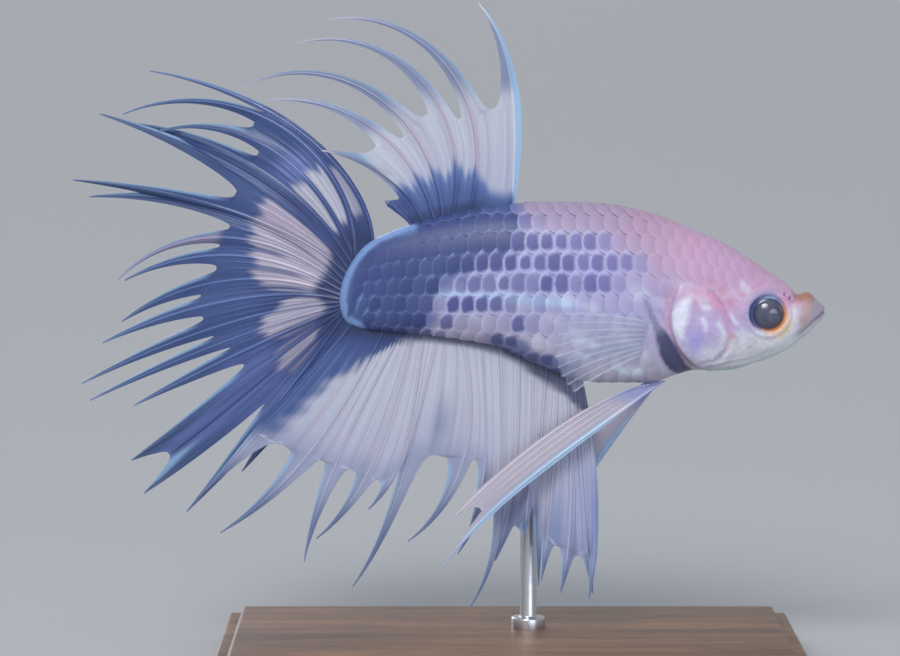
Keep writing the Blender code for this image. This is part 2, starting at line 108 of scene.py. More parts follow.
print("halfway across a soft edge: %.2f" % smooth(0.5, 0.0, 1.0))


# %% Shader nodes
def add(tree, kind, inputs=None, **settings):
    """Adds a node; an input is a value, a socket, or a node whose first output is linked."""
    made = tree.nodes.new("ShaderNode" + kind)
    for name, value in settings.items():
        setattr(made, name, value)
    for key, value in (inputs or {}).items():
        if isinstance(value, bpy.types.Node):
            value = next(socket for socket in value.outputs if socket.enabled)
        if isinstance(value, bpy.types.NodeSocket):
            tree.links.new(value, made.inputs[key])
        else:
            made.inputs[key].default_value = value
    return made


def new_material(name):
    """An empty material and its node tree."""
    finish = bpy.data.materials.new(name)
    finish.use_nodes = True
    finish.node_tree.nodes.clear()
    return finish, finish.node_tree


# %% Picking and finishing a piece
def deselect():
    """Leaves edit mode, with nothing selected."""
    if bpy.context.object and bpy.context.object.mode != "OBJECT":
        bpy.ops.object.mode_set(mode="OBJECT")
    bpy.ops.object.select_all(action="DESELECT")


def pick(obj):
    """Makes this object the only selected one."""
    deselect()
    obj.select_set(True)
    bpy.context.view_layer.objects.active = obj


def apply_modifiers(obj):
    """Makes what the modifiers show the piece's own mesh."""
    pick(obj)
    for step in list(obj.modifiers):
        bpy.ops.object.modifier_apply(modifier=step.name)


def face_outward():
    """Turns every face of the active object outward, and leaves edit mode."""
    bpy.ops.object.mode_set(mode="EDIT")
    bpy.ops.mesh.select_all(action="SELECT")
    bpy.ops.mesh.normals_make_consistent(inside=False)
    bpy.ops.object.mode_set(mode="OBJECT")


def new_piece(name, points, faces):
    """A mesh object made of these points, in millimetres, and faces."""
    mesh = bpy.data.meshes.new(name)
    mesh.from_pydata(points.reshape(-1, 3) * MM, [], faces)
    piece = bpy.data.objects.new(name, mesh)
    bpy.context.scene.collection.objects.link(piece)
    return piece


def declare(piece, finish, slot, *nodes):
    """Gives a piece its finish and its place in the frame."""
    piece.data.materials.clear()
    piece.data.materials.append(finish)
    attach(piece, "root")
    if nodes:
        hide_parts(*nodes)
    tris = sum(len(face.vertices) - 2 for face in piece.data.polygons)
    print(f"{piece.name}: {len(piece.data.vertices)} points, {tris} triangles")


# %% [markdown]
# ## The body's form
# A betta's body is a smooth spindle.  It is given by its outline from the side (back and belly)
# and from the top (half width) at named stations, with a curve through each that never
# overshoots, and by a section a little squarer than an ellipse.  The tail swings to the left
# from the middle of the body on.  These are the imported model's own numbers, so the skin fits it.

# %% Body stations
SNOUT_X, TAIL_X = 40.3, -11.3
SWING_START_X, SWING_AT_TAIL = 18.0, 3.4
SECTION_POWER = 2.2
BODY = np.array((
    # x, back, belly, half width
    (SNOUT_X, 38.4, 38.4, 0.0),
    (39.5, 39.55, 37.1, 1.35),
    (38.2, 40.5, 35.8, 2.0),
    (37.3, 40.35, 35.2, 2.35),
    (36.4, 41.2, 34.7, 2.8),
    (33.6, 43.1, 33.1, 3.8),
    (29.6, 45.6, 32.0, 4.7),
    (25.6, 47.4, 31.8, 5.2),
    (21.6, 48.9, 30.8, 5.2),
    (15.6, 49.9, 30.8, 4.9),
    (10.6, 50.0, 32.3, 4.4),
    (5.6, 49.6, 34.5, 3.8),
    (-0.4, 48.4, 35.5, 3.0),
    (-5.4, 46.9, 35.9, 2.3),
    (-8.4, 45.3, 36.1, 1.7),
    (-10.3, 42.8, 36.7, 1.1),
    (TAIL_X, 39.2, 39.2, 0.0),
))
print("standard length %.1f mm" % (SNOUT_X - TAIL_X))


# %% Curves through the stations
def station_angle(x):
    """Angle from snout (0) to tail base (pi) whose cosine spaces the body's length."""
    share = (np.asarray(x, dtype=float) - TAIL_X) / (SNOUT_X - TAIL_X)
    return np.arccos(np.clip(2.0 * share - 1.0, -1.0, 1.0))


def angle_station(t):
    """Place along the body that has this angle."""
    return TAIL_X + 0.5 * (1.0 + np.cos(t)) * (SNOUT_X - TAIL_X)


KNOTS = station_angle(BODY[:, 0])


def profile(column, x):
    """Smooth value of one of the body's columns at x."""
    values = BODY[:, column]
    chords = np.diff(values) / np.diff(KNOTS)
    before, after = chords[:-1], chords[1:]
    same = before * after > 0.0
    total = np.where(same, before + after, 1.0)
    inner = np.where(same, 2.0 * before * after / total, 0.0)
    slopes = np.concatenate(([chords[0]], inner, [chords[-1]]))
    t = station_angle(x)
    i = np.clip(np.searchsorted(KNOTS, t) - 1, 0, len(KNOTS) - 2)
    span = KNOTS[i + 1] - KNOTS[i]
    u = (t - KNOTS[i]) / span
    ends = values[i] * (1 + 2 * u) * (1 - u) ** 2 + values[i + 1] * u * u * (3 - 2 * u)
    return ends + span * (slopes[i] * u * (1 - u) ** 2 - slopes[i + 1] * u * u * (1 - u))


def back(x):
    """Height of the back."""
    return profile(1, x)


def belly(x):
    """Height of the belly."""
    return profile(2, x)


def half_width(x):
    """Half of the body's width at its widest."""
    return profile(3, x)


def midline(x):
    """Sideways place of the fish's middle plane; behind the tail base it runs on straight."""
    reach = SWING_START_X - TAIL_X
    bend = SWING_AT_TAIL / reach ** 2
    inside = np.clip(SWING_START_X - np.asarray(x, dtype=float), 0.0, reach)
    beyond = np.maximum(TAIL_X - x, 0.0)
    return bend * inside ** 2 + 2.0 * bend * reach * beyond


print("deepest body %.1f mm" % max(back(x) - belly(x) for x in BODY[:, 0]))


# %% Points of the body
def body_point(x, turn):
    """Points of the plain form; turn runs round the section from the back by the left flank."""
    top, low = back(x), belly(x)
    wide = 0.5 * (top + low)
    up, out = np.cos(turn), np.sin(turn)
    power = 2.0 / SECTION_POWER
    z = wide + 0.5 * (top - low) * np.sign(up) * np.abs(up) ** power
    y = half_width(x) * np.sign(out) * np.abs(out) ** power
    x, y, z = np.broadcast_arrays(x, midline(x) + y, z)
    return np.stack((x, y, z), axis=-1)


def body_normal(x, turn):
    """Outward directions of the plain form; they swing to straight ahead at the snout."""
    small, end, cap = 0.01, 0.04, 0.15
    t = np.clip(station_angle(x), end, math.pi - end)
    at = angle_station(t)
    ahead = body_point(angle_station(t - small), turn) - body_point(angle_station(t + small), turn)
    around = body_point(at, turn + small) - body_point(at, turn - small)
    normal = np.cross(around, ahead)
    normal /= np.maximum(np.linalg.norm(normal, axis=-1, keepdims=True), 1e-12)
    middle = np.broadcast_arrays(at, midline(at), 0.5 * (back(at) + belly(at)))
    away = body_point(at, turn) - np.stack(middle, axis=-1)
    outward = np.sign(np.sum(normal * away, axis=-1, keepdims=True))
    normal *= np.where(outward == 0.0, 1.0, outward)
    pole = np.clip((cap - station_angle(x)) / cap, 0.0, 1.0)[..., None]
    normal = normal * (1.0 - pole) + np.array((1.0, 0.0, 0.0)) * pole
    return normal / np.linalg.norm(normal, axis=-1, keepdims=True)


print("the tail base stands %.1f mm to the left" % midline(TAIL_X))

# %% [markdown]
# ## The skin's relief
# On the plain form lie the things that make it a head: the mouth's slit with its lips, the
# nostrils, the eye sockets, the cheek, and the gill cover, whose rear edge stands free over the
# gill opening.  Each is a small height added along the skin's outward direction, given by how
# far a point is from a line or a centre in side view.  Skin and scales read the same heights.

# %% Lines and places of the head
# Each place is an x and a height in millimetres, as the fish is seen from the side.
EYE, EYE_RADIUS = (33.9, 38.4), 2.05
GILL, GILL_RADIUS = (30.0, 38.1), 6.4   # the gill cover's rear edge is an arc about this place
GILL_TOP, GILL_FOOT = (140.0, 163.0), (262.0, 232.0)    # degrees about it where the edge fades in
COAT_DEPTH = 0.13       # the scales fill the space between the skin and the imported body
NOSTRILS = ((36.35, 39.95), (35.75, 40.35))
MOUTH = ((40.6, 38.75), (39.2, 37.5), (38.1, 36.5), (37.3, 35.9))
JAW_CREASE = ((37.3, 35.9), (36.4, 35.5), (35.2, 34.6), (33.4, 33.9), (31.5, 33.6))
LIP_CREASE = ((37.35, 40.8), (37.05, 39.9), (36.75, 38.9), (36.7, 37.6), (37.1, 36.5))
CHEEK_LINE = ((27.7, 40.7), (28.9, 39.2), (29.6, 37.6), (29.9, 36.0), (29.6, 34.6), (28.6, 33.4))
# the gill opening behind the cover, painted dark as shade, and its half width at each of its places
CRESCENT = ((20.8, 40.3), (21.5, 38.6), (22.2, 37.1), (22.8, 35.9),
            (23.4, 34.5), (24.1, 33.2), (24.9, 32.3), (25.9, 31.9))
CRESCENT_WIDTH = (0.12, 0.22, 0.42, 0.66, 0.90, 0.88, 0.62, 0.2)


def line_distance(x, z, line):
    """Distance of side-view points from a line of points, and their place along it."""
    best = np.full(np.shape(x), np.inf)
    place = np.zeros(np.shape(x))
    for k, (start, end) in enumerate(zip(line[:-1], line[1:])):
        dx, dz = end[0] - start[0], end[1] - start[1]
        u = np.clip(((x - start[0]) * dx + (z - start[1]) * dz) / (dx * dx + dz * dz), 0.0, 1.0)
        away = np.hypot(x - start[0] - u * dx, z - start[1] - u * dz)
        nearer = away < best
        best = np.where(nearer, away, best)
        place = np.where(nearer, k + u, place)
    return best, place


def blot(x, z, centre, wide, tall=None):
    """A soft oval spot about a place in side view."""
    return hump(np.hypot((x - centre[0]) / wide, (z - centre[1]) / (tall or wide)), 1.0)


def stroke(x, z, line, width):
    """A soft-edged stroke along a line in side view."""
    return hump(line_distance(x, z, line)[0], width)


def around_gill(x, z):
    """Distance from the gill cover's centre, and how much a point faces its free edge."""
    radius = np.hypot(x - GILL[0], z - GILL[1])
    angle = np.degrees(np.arctan2(z - GILL[1], x - GILL[0])) % 360.0
    return radius, smooth(angle, *GILL_TOP) * smooth(angle, *GILL_FOOT)


def around_eye(x, z):
    """Distance from the eye's centre, and the angle about it."""
    return np.hypot(x - EYE[0], z - EYE[1]), np.arctan2(z - EYE[1], x - EYE[0])


print("gill cover %.1f mm deep" % (2.0 * GILL_RADIUS))


# %% Heights of the relief
def relief(x, z):
    """Height of the skin over the plain form, in millimetres, at a place in side view."""
    height = np.full(np.shape(x), -COAT_DEPTH)

    # gill cover and cheek
    radius, facing = around_gill(x, z)
    cover = smooth(radius, GILL_RADIUS + 0.14, GILL_RADIUS - 0.18)
    height += 0.26 * facing * cover * smooth(radius, 3.2, 6.1)
    height -= 0.30 * facing * (1.0 - cover) * smooth(radius, 8.3, 6.8)
    cheek = line_distance(x, z, CHEEK_LINE)[0]
    height += 0.09 * hump(cheek - 0.55, 0.35) * (x > 28.0) - 0.13 * hump(cheek, 0.28)
    height += 0.10 * blot(x, z, (31.9, 36.3), 1.7, 1.7 / 1.1)
    height += 0.10 * blot(x, z, (27.4, 37.0), 1.8, 1.8 / 0.8)

    # eye socket with its lid, and the brow
    eye = around_eye(x, z)[0]
    height += 0.15 * hump(eye - 2.32, 0.26)
    height -= 1.25 * smooth(eye, EYE_RADIUS + 0.02, EYE_RADIUS - 0.35)
    height += 0.10 * blot(x, z, (34.2, 41.3), 1.1)

    # mouth, lips, chin and jaw
    slit, place = line_distance(x, z, MOUTH)
    height -= 0.20 * hump(slit, 0.11) * smooth(place, 3.0, 1.6)
    height += 0.05 * hump(slit - 0.42, 0.30) * smooth(place, 3.0, 2.0)
    height += 0.10 * blot(x, z, (38.1, 39.9), 0.7) + 0.30 * blot(x, z, (36.2, 34.2), 2.0, 1.5)
    for line, depth, fade, full in ((LIP_CREASE, 0.08, 2.2, 0.6), (JAW_CREASE, 0.06, 4.0, 2.0)):
        crease, place = line_distance(x, z, line)
        height -= depth * hump(crease, 0.30) * smooth(place, fade, full)

    # nostrils, and folds across the throat
    for nostril, size, depth in zip(NOSTRILS, (0.17, 0.15), (0.40, 0.30)):
        hole = np.hypot(x - nostril[0], z - nostril[1])
        height += 0.12 * hump(hole - 0.30, 0.12) - depth * hump(hole, size)
    folds = np.cos((z - 31.5 - 0.20 * (x - 28.0)) * 2.0 * math.pi / 0.75)
    throat = smooth(z, 34.0, 33.2) * smooth(x, 25.8, 27.5) * smooth(x, 34.5, 32.5)
    return height + 0.05 * folds * throat


def surface(x, turn, lift=0.0):
    """Points of the skin, raised by lift."""
    plain = body_point(x, turn)
    height = relief(plain[..., 0], plain[..., 2]) + lift
    return plain + body_normal(x, turn) * np.asarray(height)[..., None]


print("coat depth %.2f mm" % COAT_DEPTH)

# %% [markdown]
# ## The markings
# The fish is pale and pink at the head, lavender on the flanks and navy at the rear.  Between,
# each scale is pale with a dark centre, so the dark colour breaks up into rows of spots.  The
# markings are written once, as soft-edged areas placed in side view by named lines, and both
# the skin and the scales take their colours from them.

# %% Palette of the body
# painted light among these: glint is a highlight; crescent, socket, mouth and nostril are shade;
# belly, low flank and chin are partly lightened for the dim underside
INK = {name: linear(code) for name, code in {
    "back": "#9d8fae", "flank": "#a3a1cb", "low flank": "#aeaacb", "belly": "#beb8cf",
    "pink back": "#b293ae", "head": "#bb9abb", "bright pink": "#c98aa8", "red": "#c06c86",
    "lavender": "#bba8d6", "lilac": "#9a98de", "white": "#e4e8f6", "cream": "#d9dbe2",
    "chin": "#dde1e4", "chin edge": "#b0d6de", "lip": "#a06a5b", "snout": "#95909c",
    "net": "#a6afdc", "spot": "#52578f", "violet": "#7a72ac", "navy net": "#4a5f94",
    "dark navy": "#324377", "rim": "#7696ca", "crescent": "#45486c", "sheath": "#6473a6",
    "cyan": "#bcd9f8", "glint": "#dff0ff", "orange": "#e09a52", "gold": "#ecd096",
    "socket": "#8f98c0", "mouth": "#6a5560", "nostril": "#6e4a5c",
}.items()}


def mottle(x, z, size, seed):
    """A soft, repeatable blotchiness between -1 and 1, with blotches of about that size."""
    draw = np.random.default_rng(seed)
    total = np.zeros(np.shape(x))
    for _ in range(6):
        angle, shift = draw.uniform(0.0, 2.0 * math.pi, 2)
        pitch = size * draw.uniform(0.8, 1.7)
        total = total + np.sin((x * math.cos(angle) + z * math.sin(angle)) * 3.1 / pitch + shift)
    return np.clip(total / 2.6, -1.0, 1.0)


print(len(INK), "body colours")

# %% Where the dark colour lies
# height, and x of the solid navy's front
NAVY_FRONT = ((30.0, 1.0), (35.0, -4.0), (37.5, -0.6), (39.5, -0.8), (41.7, 1.5), (42.5, 2.0),
              (44.5, 6.0), (46.0, 7.8), (48.0, 8.3), (51.0, 8.8))
# height, and x where the spots fade out
SPOT_FRONT = ((33.0, 5.0), (36.5, 9.5), (37.6, 10.3), (39.5, 13.5), (41.7, 19.3), (43.9, 22.0),
              (46.3, 18.0), (47.6, 12.0), (49.0, 8.0))


def read_off(table, place):
    """Value of a two-column table at a place, straight between its rows."""
    places, values = zip(*table)
    return np.interp(place, places, values)


def navy_amount(x, z):
    """How solid the dark colour of the rear body is."""
    front = read_off(NAVY_FRONT, z) + 0.9 * mottle(x, z, 2.4, 3)
    return smooth(x, front + 1.6, front - 1.6)


def spot_amount(x, z):
    """How dark the centre of a scale at this place is."""
    front = read_off(SPOT_FRONT, z)
    fade = smooth(x, front + 1.6, front - 3.4)
    patchy = 1.0 - 0.6 * smooth(z, 43.0, 41.0) * smooth(mottle(x, z, 2.2, 8), -0.1, 0.6)
    bare = 1.0 - 0.7 * smooth(z, 39.0, 38.0) * smooth(x, 0.4, 2.0) * smooth(x, 7.6, 6.2)
    band = stroke(x, z, ((-0.8, 40.5), (6.0, 40.2), (13.4, 39.6)), 0.7)
    return fade * patchy * bare * (1.0 - 0.75 * band * smooth(x, -1.0, 1.0))


print("navy front at mid height: x = %.1f mm" % read_off(NAVY_FRONT, 41.0))

# %% Colours of the head
def head_colour(wash, x, z, h):
    """Markings of the head, laid over the body's ground colour; h is the share of its height."""
    radius, facing = around_gill(x, z)
    on_head = smooth(x, 22.6, 24.4)
    cover = np.maximum(smooth(radius, GILL_RADIUS + 0.05, GILL_RADIUS - 0.15), x > GILL[0])

    # lavender gill cover over a cream lower face with fine streaks
    lavender = hump(np.hypot((x - 27.6) / 3.2, (z - 36.6) / 3.0), 1.1)
    wash.lay("lavender", 0.8 * on_head * cover * smooth(z, 40.6, 37.6) * lavender)
    cream = smooth(z, 37.6 + 0.10 * (x - 33.0), 35.6 + 0.06 * (x - 33.0)) * smooth(x, 27.6, 30.6)
    cream = on_head * cover * cream
    wash.lay("cream", 0.95 * cream)
    phase = (z - 0.75 * x) * 2.0 * math.pi / 0.62 + 1.5 * mottle(x, z, 2.0, 15)
    wash.lay("white", 0.45 * cream * smooth(np.sin(phase), 0.1, 0.9))
    wash.lay("snout", 0.20 * cream * smooth(mottle(x, z, 0.9, 16), 0.1, 0.8))
    # the chin's cream is its own colour, lightened further as painted light where the underside
    # gets little light
    wash.lay("chin", 0.8 * on_head * cover * smooth(h, 0.16, 0.03) * smooth(x, 27.0, 29.0))
    wash.lay("white", 0.7 * cover * blot(x, z, (27.4, 34.2), 1.5, 1.1))
    wash.lay("chin edge", 0.7 * on_head * smooth(h, 0.07, 0.01) * smooth(x, 38.5, 36.0))

    # the bony plate's pearly rear edge, and small pearly dashes in front of it
    edge = ((25.6, 40.5), (24.9, 39.4), (24.55, 38.4), (24.45, 37.3), (24.7, 36.2))
    pearl, place = line_distance(x, z, edge)
    width = np.interp(place, range(5), (0.1, 0.6, 0.8, 0.6, 0.15))
    wash.lay("white", 0.9 * smooth(pearl, width + 0.55, width - 0.4) * cover)
    for dash, width, much in (
        (((27.0, 38.0), (27.3, 36.9)), 0.30, 0.65),
        (((28.6, 37.5), (29.2, 36.4)), 0.26, 0.55),
        (((29.9, 38.4), (30.6, 37.4)), 0.24, 0.5),
        (((27.0, 39.3), (27.5, 39.1)), 0.34, 0.6),
        (((31.2, 41.6), (31.8, 40.9)), 0.42, 0.4),
    ):
        wash.lay("white", much * stroke(x, z, dash, width))
    wash.lay("lilac", 0.7 * hump(np.hypot((x - 26.3) / 0.9, (z - 35.6) / 1.3), 0.9) * cover)

    # blood shows pink along the cheek's edge and in specks behind the eye
    edge, place = line_distance(x, z, CHEEK_LINE)
    wash.lay("bright pink", 0.55 * hump(edge, 0.26) * smooth(place, 5.0, 3.0))
    arch = ((25.4, 40.6), (27.0, 41.0), (28.2, 40.0), (28.8, 39.2))
    wash.lay("bright pink", 0.5 * stroke(x, z, arch, 0.45))
    for speck_x, speck_z, size in (
        (29.9, 39.8, 0.42), (31.2, 40.5, 0.30), (29.0, 41.1, 0.40),
        (27.6, 42.0, 0.34), (30.2, 36.1, 0.34), (31.9, 39.6, 0.26),
    ):
        wash.lay("red", 0.55 * blot(x, z, (speck_x, speck_z), size))

    # membrane behind the gill cover, and painted shade in the gill opening
    behind = facing * (1.0 - smooth(radius, GILL_RADIUS + 0.05, GILL_RADIUS - 0.1))
    wash.lay("head", 0.85 * behind * smooth(radius, 7.5, 6.9) * smooth(z, 31.6, 33.5))
    dark, place = line_distance(x, z, CRESCENT)
    width = np.interp(place, range(len(CRESCENT)), CRESCENT_WIDTH)
    strength = np.interp(place, (0.0, 2.0, 3.0, 7.0), (0.35, 0.6, 1.0, 1.0))
    strength = strength * (1.0 - cover * facing)
    wash.lay("crescent", strength * smooth(dark, width + 0.22, width - 0.16))

    # round the eye: blue-grey painted shade above and behind, and gold below and in front
    eye, turn = around_eye(x, z)
    wash.lay("socket", 0.75 * smooth(eye, 3.0, 2.15) * smooth(np.cos(turn - 2.3), 0.0, 0.8))
    wash.lay("orange", 0.75 * smooth(eye, 2.5, 2.05) * smooth(np.cos(turn + 0.75), 0.45, 0.95))
    wash.lay("gold", 0.7 * hump(eye - 2.7, 0.35) * smooth(np.cos(turn + 0.55), 0.5, 0.97))

    # snout and lips
    below = smooth(z - np.interp(x, (37.3, 40.6), (35.9, 38.75)), 0.1, -0.3)
    wash.lay("snout", 0.85 * smooth(x, 36.6, 37.8) * (1.0 - 0.7 * below))
    wash.lay("bright pink", 0.7 * stroke(x, z, ((35.4, 39.7), (37.2, 39.4)), 0.5))
    wash.lay("white", 0.75 * blot(x, z, (36.75, 38.4), 0.6, 1.1))
    upper_lip = line_distance(x, z, ((37.5, 40.3), (38.5, 40.3)))[0]
    wash.lay("lip", 0.9 * smooth(upper_lip, 1.15, 0.2))
    wash.lay("orange", 0.22 * stroke(x, z, ((38.3, 39.2), (37.7, 37.4)), 0.55))
    # painted shade: dark in the mouth's slit and in the nostrils' pits
    slit, place = line_distance(x, z, MOUTH)
    wash.lay("mouth", 0.45 * hump(slit, 0.13) * smooth(place, 3.0, 1.4))
    for nostril in NOSTRILS:
        wash.lay("nostril", 0.8 * blot(x, z, nostril, 0.17))


# %% Colours of the body
RIM = ((-3.6, 47.2), (-5.4, 46.9), (-7.2, 46.2), (-8.6, 45.1), (-9.9, 43.5), (-10.7, 41.6),
       (-11.2, 39.4), (-10.9, 37.8), (-10.2, 36.8), (-9.2, 36.3))


def sheath_amount(x, z):
    """The dark scaly sheath at the root of the anal fin's front half."""
    above = z - belly(x) + 0.35 * mottle(x, z, 1.3, 5)
    return smooth(above, 2.3, 1.3) * smooth(x, 3.9, 5.4) * smooth(x, 15.2, 13.0)


def body_colour(x, z, side):
    """Ground colour of skin and scales; side is the distance from the fish's middle plane."""
    top, low = back(x), belly(x)
    h = (z - low) / np.maximum(top - low, 0.1)
    pink = smooth(x, 12.0, 27.0)
    # the underside's pale ground is the fish's own colour, made lighter still as painted light
    # where little light reaches it
    wash = Washes(INK, "belly", x)
    wash.lay("low flank", smooth(h, 0.05, 0.28))
    wash.lay("flank", smooth(h, 0.25, 0.55))
    wash.lay("back", smooth(h, 0.62, 0.92))
    wash.lay("pink back", pink * smooth(h, 0.42, 0.85))
    wash.lay("head", smooth(x, 21.0, 27.0) * smooth(h, 0.30, 0.55))
    flush = smooth(mottle(x, z, 2.0, 1), 0.0, 0.9) * smooth(h, 0.4, 0.7)
    wash.lay("bright pink", 0.18 * pink * flush)
    wash.lay("white", 0.25 * smooth(mottle(x, z, 1.4, 2), 0.2, 0.9) * smooth(h, 0.75, 0.5))

    # pearly streaks behind the pectoral fin's root, their own colour brightened as painted glints,
    # and a cyan one above the solid navy
    for line, width, much, ink in (
        (((18.3, 32.6), (19.4, 32.2), (20.4, 32.3)), 0.62, 1.0, "glint"),
        (((13.6, 35.4), (14.6, 35.5), (15.8, 35.2)), 0.30, 0.9, "glint"),
        (((13.9, 34.2), (14.8, 33.9)), 0.27, 0.7, "glint"),
        (((-0.4, 40.5), (6.0, 40.15), (13.1, 39.55)), 0.5, 0.75, "cyan"),
    ):
        wash.lay(ink, much * stroke(x, z, line, width))

    # the dark rear, with the sheath of the anal fin and the rim of the tail stalk
    wash.lay("navy net", 0.95 * navy_amount(x, z))
    wash.lay("sheath", 0.85 * sheath_amount(x, z))
    wash.lay("rim", 0.7 * blot(x, z, (-9.2, 38.5), 2.1))
    rim = line_distance(x, z, RIM)[0]
    wash.lay("dark navy", 0.8 * hump(rim - 1.2, 0.5) * (x < 0.0))
    wash.lay("rim", smooth(rim, 0.85, 0.45) * smooth(side, 1.6, 0.9))
    head_colour(wash, x, z, h)
    return wash.colour


# %% [markdown]
# ## Skin
# One closed skin covers head, jaw, gill covers, trunk and tail stalk.  A UV sphere has its
# vertices in rings between two poles, which is just what a fish's body is, from mouth to tail
# base.  So a fine sphere is added and each vertex is moved from its ring and spoke on the
# sphere to the same ring and spoke on the body.  The rings stand closest at the head.

# %% Read and write a mesh
UNWRAP_START = 0.02
UNWRAP_REACH = (0.96, 0.94)                         # along the body, and round it


def read_points(mesh):
    """Places of the vertices, in metres."""
    points = np.empty(len(mesh.vertices) * 3)
    mesh.vertices.foreach_get("co", points)
    return points.reshape(-1, 3)


def write_points(mesh, points):
    """Moves the vertices to these places, in millimetres."""
    mesh.vertices.foreach_set("co", (np.asarray(points) * MM).ravel())
    mesh.update()


def paint(mesh, name, colours):
    """A colour for every vertex, as an attribute that the material reads."""
    rgba = np.ones((len(mesh.vertices), 4))
    rgba[:, :3] = np.clip(colours, 0.0, 1.0)
    layer = mesh.color_attributes.new(name, "FLOAT_COLOR", "POINT")
    layer.data.foreach_set("color", rgba.ravel())


def set_values(mesh, name, values):
    """A number for every vertex, as an attribute that the material reads."""
    layer = mesh.attributes.new(name, "FLOAT", "POINT")
    layer.data.foreach_set("value", np.asarray(values, dtype=float).ravel())


def set_uv(mesh, name, corner_uv):
    """A place on an unwrap for every corner of every face."""
    layer = mesh.uv_layers.new(name=name)
    layer.data.foreach_set("uv", np.asarray(corner_uv, dtype=float).ravel())


def corner_vertices(mesh):
    """Which vertex each corner of each face lies on."""
    index = np.empty(len(mesh.loops), dtype=int)
    mesh.loops.foreach_get("vertex_index", index)
    return index


def unwrapped(along, around):
    """Place on the fish's unwrap of shares along the body and round it."""
    return np.stack((UNWRAP_START + UNWRAP_REACH[0] * along,
                     UNWRAP_START + UNWRAP_REACH[1] * around), axis=1)


def share_round(turn):
    """Share of the way round the body, from the belly by the right flank."""
    return turn / (2.0 * math.pi) + 0.5


def ground_colour(plain):
    """Ground colour at points of the plain form."""
    x, y, z = np.moveaxis(plain, -1, 0)
    return body_colour(x, z, np.abs(y - midline(x)))


# %% Skin mesh
SKIN_SPOKES, SKIN_RINGS = 264, 300
RING_SHARES = (0.0, 0.40, 0.58, 1.0)                # share of the rings used up ...
RING_ANGLES = (0.0, 0.93, 1.25, math.pi)            # ... by each angle from snout to tail

deselect()
bpy.ops.mesh.primitive_uv_sphere_add(segments=SKIN_SPOKES, ring_count=SKIN_RINGS, radius=1.0)
skin = bpy.context.object
skin.name = "fish_skin"
ball = read_points(skin.data)
ring = np.arccos(np.clip(ball[:, 2], -1.0, 1.0)) / math.pi
skin_t = np.interp(ring, RING_SHARES, RING_ANGLES)
skin_x = angle_station(skin_t)
skin_turn = np.arctan2(ball[:, 1], ball[:, 0])
write_points(skin.data, surface(skin_x, skin_turn))
paint(skin.data, "marking", ground_colour(body_point(skin_x, skin_turn)))
bpy.ops.object.shade_smooth()
print("skin rings:", SKIN_RINGS)

# %% Unwrap the skin
# It is parted along the belly, so the faces that cross the seam run on past its far side.
for layer in list(skin.data.uv_layers):
    skin.data.uv_layers.remove(layer)
loops = corner_vertices(skin.data)
around = share_round(skin_turn[loops])
sizes = [len(face.vertices) for face in skin.data.polygons]
face_of = np.repeat(np.arange(len(sizes)), sizes)
highest = np.zeros(len(sizes))
np.maximum.at(highest, face_of, around)
crossing = (highest[face_of] > 0.75) & (around < 0.25)
set_uv(skin.data, "OFBake", unwrapped(skin_t[loops] / math.pi, around + crossing))
print("corners past the seam:", int(crossing.sum()))

# %% [markdown]
# ## Skin finish
# The model's skin is cast resin painted in thin washes and sealed with a satin varnish.  The
# washes come from the painted markings.  A fine blotchiness at about 0.45 mm keeps the colour
# from looking printed, and the varnish gives a second, sharper gloss.

# %% Skin material
def painted_skin():
    """Painted resin under satin varnish, coloured by the marking attribute."""
    finish, tree = new_material("varnished_painted_resin")
    place = add(tree, "TexCoord").outputs["Object"]
    colour = add(tree, "Attribute", attribute_name="marking")
    blotch = add(tree, "TexNoise", {"Vector": place, "Scale": 2200.0, "Detail": 3.0})
    shade = add(tree, "MapRange", {
        "Value": blotch, "From Min": 0.3, "From Max": 0.7, "To Min": 0.90, "To Max": 1.08})
    tinted = add(tree, "VectorMath", {0: colour, "Scale": shade}, operation="SCALE")
    grain = add(tree, "TexNoise", {"Vector": place, "Scale": 6000.0, "Detail": 2.0})
    bump = add(tree, "Bump", {"Height": grain, "Strength": 0.10, "Distance": 0.04 * MM})
    shader = add(tree, "BsdfPrincipled", {
        "Base Color": tinted, "Normal": bump, "Roughness": 0.42, "Specular IOR Level": 0.5,
        "Coat Weight": 0.25, "Coat Roughness": 0.22,
        "Subsurface Weight": 0.08, "Subsurface Scale": 0.8 * MM})
    add(tree, "OutputMaterial", {"Surface": shader})
    return finish


declare(skin, painted_skin(), "skin",
        "head", "lower_jaw", "gill_cover_left", "gill_cover_right", "trunk", "tail_stalk")

# %% [markdown]
# ## Scales
# A betta wears thin rounded plates in rows, each rooted under the one in front, with its free
# edge towards the tail.  One plate is modelled: a grid whose rear end is pushed into an arc,
# closed underneath with a single face.  Copies are then laid along rows that follow the body.
# They are all written into one mesh per side, because the surface under each plate curves its
# own way, and a modifier could only repeat one shape.

# %% One scale
deselect()
bpy.ops.mesh.primitive_grid_add(x_subdivisions=6, y_subdivisions=6, size=2.0)
plate = bpy.context.object
bpy.ops.object.mode_set(mode="EDIT")
bpy.ops.mesh.select_all(action="DESELECT")
bpy.ops.mesh.select_mode(type="EDGE")
bpy.ops.mesh.select_non_manifold()
bpy.ops.mesh.edge_face_add()
face_outward()
flat_plate = read_points(plate.data)
plate_u = flat_plate[:, 0]                          # across, -1 to 1
plate_v = 0.5 * (1.0 - flat_plate[:, 1])            # along, 0 at the root, 1 at the free edge
plate_faces = [tuple(face.vertices) for face in plate.data.polygons]
bpy.data.objects.remove(plate, do_unlink=True)
print("one scale:", len(plate_u), "points,", len(plate_faces), "faces")

# %% Measure round the body
SECTIONS, SECTION_TURNS, SECTION_END = 280, 181, 0.02
# x, and height of the row of scales that runs along the middle of the flank
SPINE_ROW = ((-11.0, 40.7), (5.0, 41.7), (20.0, 41.7), (28.0, 40.9), (36.0, 39.6))

